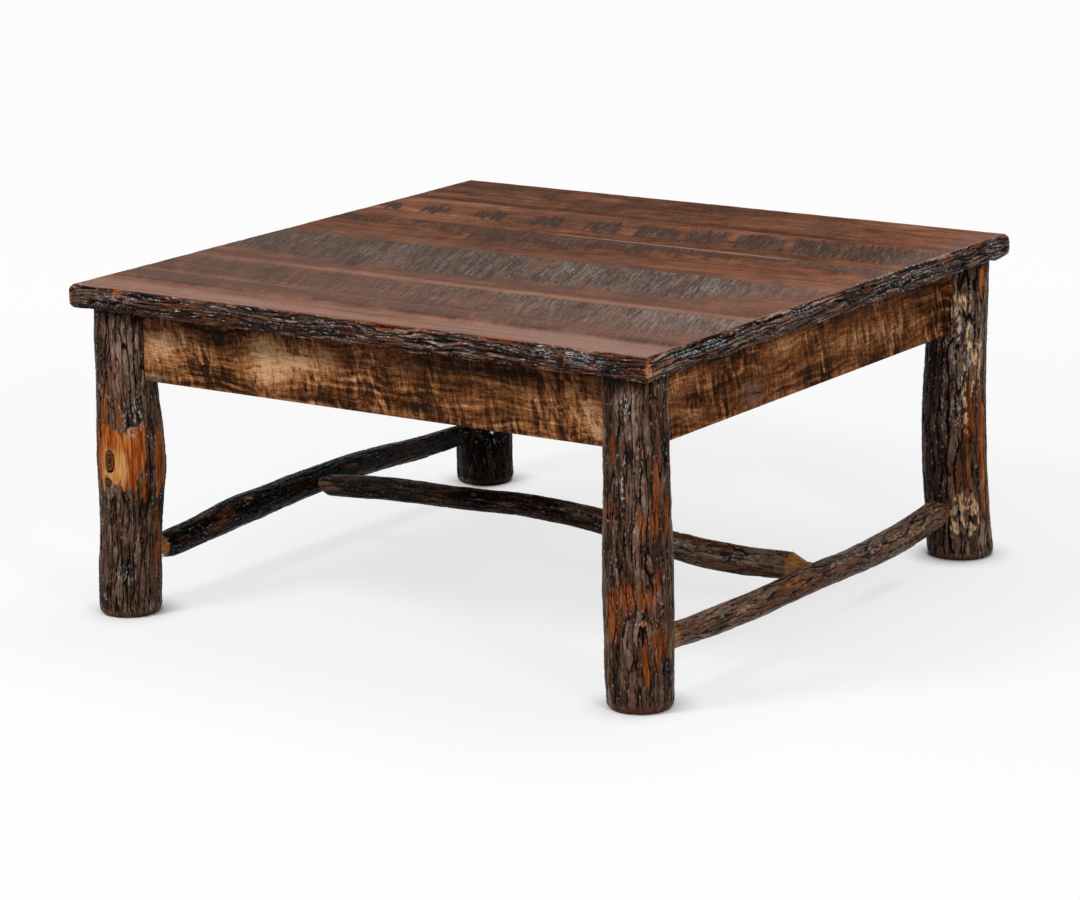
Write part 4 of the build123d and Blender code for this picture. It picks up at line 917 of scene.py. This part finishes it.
def makeApron(name, seed):
    # the board's section carried along the side, with a smaller section for the tenon at each end; the outer
    # face dips along wavy lines of grain and along the upright marks of the saw
    look = SimpleNamespace(**{**aprons, **eachApron[name]})
    r, inner, outer, low, high = look.arris, look.inner, look.outer, look.low, look.high
    steps, facesX = round((high - low) / look.cell), name in ("left", "right")
    # up the outer face, then round the other three corners, each with its arris
    face = np.stack([np.full(steps, outer), np.linspace(low + 2 * r, high - 2 * r, steps)], -1)
    outs, ups = np.concatenate([[(outer, low + r)], face, [
        (outer, high - r), (outer - r, high), (outer - 2 * r, high), (inner + 2 * r, high), (inner + r, high),
        (inner, high - r), (inner, high - 2 * r), (inner, low + 2 * r), (inner, low + r), (inner + r, low),
        (inner + 2 * r, low), (outer - 2 * r, low), (outer - r, low)]]).T
    shoulder, tip = look.shoulder[facesX], look.tip[facesX]
    rows = np.linspace(-shoulder, shoulder, round(2 * shoulder / look.cell) + 1)
    along, up = np.meshgrid(rows, ups, indexing="ij")
    warp = 15 * fractal(along / 85 + 9, up / 42 + 9, 64, seed, 3)
    lines = fractal((up + warp) / 5.0 + 200, along / 75 + 12, 512, seed + 10, 4)
    wander = fractal(along / 40 + 9, up / 25 + 9, 64, seed + 12, 3)
    slanted = along - 0.25 * up + 4 * noise(along / 30 + 20, up / 20 + 9, 64, seed + 15)
    gap, own = plates(slanted / 6.5 + 100, up / 30 + 3, 256, seed + 20)[:2]
    thin = plates(slanted / 2.8 + 200, up / 22 + 3, 512, seed + 30)[1]
    busy = ease(fractal(along / 55 + 9, up / 60 + 9, 64, seed + 40, 3), -0.25, 0.3)
    contour = np.sin((up + 1.6 * warp) * 2 * math.pi / look.contourSpacing + 3 * wander)
    shade = look.tone + 0.24 * lines + look.contour * contour + (0.08 + 0.34 * busy) * (own - 0.5)
    shade = shade + 0.14 * (thin - 0.5) - 0.22 * busy * (1 - ease(gap, 0, 0.2))
    uneven = 0.9 * lines + 0.5 * (own - 0.5) + 0.5 * wander
    for at, level, long, tall, lighter in look.areas:
        away = np.hypot((along - at) / long, (up - level) / tall) + uneven
        shade = shade + 0.5 * lighter * (1 - ease(away, 0.3, 1.2))
    # painted shadow of the edging: the top of the apron darker
    shade = shade - 0.2 * ease(up, *look.topShadow)
    grey = np.zeros(along.shape)
    for at, level, long, tall in look.grey:
        away = np.hypot((along - at) / long, (up - level) / tall) + 0.5 * (own - 0.5)
        grey = np.maximum(grey, 0.5 * (1 - ease(away, 0.4, 1.1)) * ease(0.5 * own + lines, 0.1, 0.5))
    onFace = (np.arange(len(outs)) >= 1) & (np.arange(len(outs)) <= steps)
    dip = look.relief * np.clip(0.45 - 0.35 * lines - 0.5 * busy * (own - 0.5), 0, 1.2)
    points = onSide(name, along, outs - dip * onFace, up)
    # the same section, squeezed to the tenon's, at its shoulder and at its tip
    middle = (inner + outer) / 2
    tenonOut = middle + (outs[None] - middle) * look.tenonThick / (outer - inner)
    tenonUp = np.interp(ups[None], (low, high), look.tenonSpan)
    ends = [onSide(name, end, tenonOut, tenonUp) for end in (-tip, -shoulder, shoulder, tip)]
    points = np.concatenate([*ends[:2], points, *ends[2:]])
    figure = [np.pad(values, ((2, 2), (0, 0)), mode="edge") for values in (np.clip(shade, 0, 1), grey)]
    layers = {"figure": figure, "grain": points[..., [1, 0, 2] if facesX else [0, 1, 2]] * mm + seed}
    finish = brownApron if facesX else goldenApron
    addPiece("sawn_apron_" + name, points, layers, finish, "apron_" + name)


for order, name in enumerate(sides):
    makeApron(name, 800 + 17 * order)
print("aprons made")


def plainWood():
    # Planed maple for the pieces nobody sees: pale, close grain, no stain.
    material, tree = newMaterial("planed hidden maple")
    grain = pattern(tree, add(tree, "TexCoord").outputs["Object"], (4, 60, 4), detail=5)
    colour = add(tree, "ValToRGB", grain, ramp={0.3: "#8d6d4b", 0.7: "#b99a70"})
    return finishWood(material, colour, 0.55, 0.4, grain, strength=0.2, deep=0.3)


def zincSteel():
    # Zinc-plated steel screws and washers: greyish, softly shining, with a faint spangle.
    material, tree = newMaterial("zinc plated steel")
    spangle = pattern(tree, add(tree, "TexCoord").outputs["Object"], (3, 3, 3), detail=2)
    dull = add(tree, "MapRange", spangle, 0, 1, 0.28, 0.5)
    steel = add(tree, "BsdfPrincipled", named={"Base Color": "#a8a7a2", "Metallic": 1.0, "Roughness": dull})
    add(tree, "OutputMaterial", steel)
    return material


maple, zinc = plainWood(), zincSteel()
woodNodes = ("batten_left", "batten_right", "top_dowels", *("corner_block_" + name for name in eachLeg))
for nodeName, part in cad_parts.items():
    if not part.hide_render:
        for slotHere in part.material_slots:
            slotHere.material = maple if nodeName in woodNodes else zinc
print("hidden wood and steel finished")

camera = {
    "turn": 34.807, "rise": 13.844, "roll": -1.106, "lens": 129.2, "sensor": 36.0,
    "aim": (0.6099, -0.9071, 0.457), "away": 4.230,
}
lensData = bpy.data.cameras.new("studioCamera")
lensData.lens, lensData.sensor_width, lensData.sensor_fit = camera["lens"], camera["sensor"], "HORIZONTAL"
eye = bpy.data.objects.new("studioCamera", lensData)
stand = Matrix.Translation(camera["aim"])
for degrees, axis in ((camera["turn"], "Z"), (90 - camera["rise"], "X"), (camera["roll"], "Z")):
    stand = stand @ Matrix.Rotation(math.radians(degrees), 4, axis)
eye.matrix_world = stand @ Matrix.Translation((0, 0, camera["away"]))
bpy.context.scene.collection.objects.link(eye)
bpy.context.scene.camera = eye

lampAim = Vector((0, 0, 0.25))  # the middle of the table
lamps = {
    "softBox": {"at": (-1.2, -2.6, 3.1), "size": 0.9, "watts": 84},
    "sideBox": {"at": (3.3, -1.9, 2.0), "size": 0.8, "watts": 46},
    "topBox": {"at": (0.2, 0.9, 3.2), "size": 1.8, "watts": 36},
    "leftSpark": {"at": (-2.2, -3.0, 1.9), "size": 0.2, "watts": 120, "shineOnly": True},
    "middleSpark": {"at": (0.7, -3.6, 2.4), "size": 0.2, "watts": 120, "shineOnly": True},
    "rightSpark": {"at": (2.8, -2.9, 1.7), "size": 0.2, "watts": 120, "shineOnly": True},
}
for name, lamp in lamps.items():
    light = bpy.data.lights.new(name, "AREA")
    light.size, light.energy = lamp["size"], lamp["watts"]
    holder = bpy.data.objects.new(name, light)
    place = Vector(lamp["at"])
    facing = (place - lampAim).to_track_quat("Z", "Y").to_matrix().to_4x4()
    holder.matrix_world = Matrix.Translation(place) @ facing
    holder.visible_diffuse = not lamp.get("shineOnly", False)
    bpy.context.scene.collection.objects.link(holder)


def seenStraight(tree):
    # 1 for the rays that show the background itself: from the camera, off a shine or through glass
    path = add(tree, "LightPath").outputs
    seen = add(tree, "Math", path["Is Camera Ray"], path["Is Glossy Ray"], operation="MAXIMUM")
    return add(tree, "Math", seen, path["Is Transmission Ray"], operation="MAXIMUM")


world = bpy.data.worlds.new("paleStudio")
bpy.context.scene.world = world
world.use_nodes = True
tree = world.node_tree
tree.nodes.clear()
dim = add(tree, "Background", "#ffffff", 0.22)
white = add(tree, "Background", "#ffffff", 0.99)
add(tree, "OutputWorld", add(tree, "MixShader", seenStraight(tree), dim, white))

floor = {  # its size in metres, and how white it looks near the table and further off
    "radius": 18.0, "sides": 96, "level": -0.0005, "reach": (0.7, 2.2), "white": (0.76, 0.97), "contactShadow": 0.045,
}
bearing = 2 * math.pi * np.arange(floor["sides"]) / floor["sides"]
ring = np.stack([floor["radius"] * np.cos(bearing), floor["radius"] * np.sin(bearing),
                 np.full(floor["sides"], floor["level"])], -1)
floorMesh = bpy.data.meshes.new("paleFloor")
floorMesh.from_pydata(ring.tolist(), [], [tuple(range(floor["sides"]))])
floorObject = bpy.data.objects.new("paleFloor", floorMesh)
bpy.context.scene.collection.objects.link(floorObject)
floorMaterial, tree = newMaterial("matt white floor")
away = add(tree, "VectorMath", add(tree, "TexCoord").outputs["Object"], operation="LENGTH").outputs["Value"]
lift = add(tree, "MapRange", away, *floor["reach"], *floor["white"])
# a painted contact shadow: ambient occlusion dims the floor's glow where the feet stand on it
free = add(tree, "AmbientOcclusion", named={"Distance": floor["contactShadow"]}, samples=12).outputs["AO"]
free = add(tree, "MapRange", free, 0.45, 0.97)
lift = add(tree, "Math", lift, free, operation="MULTIPLY")
paleShade = add(tree, "BsdfDiffuse", "#fafafa")
glow = add(tree, "Emission", "#ffffff", 0.99)
pale = add(tree, "MixShader", lift, paleShade, glow)
dimShade = add(tree, "BsdfDiffuse", "#b4b4b4")
add(tree, "OutputMaterial", add(tree, "MixShader", seenStraight(tree), dimShade, pale))
floorMesh.materials.append(floorMaterial)
bpy.context.scene.view_settings.view_transform = "Standard"
print("stage set")
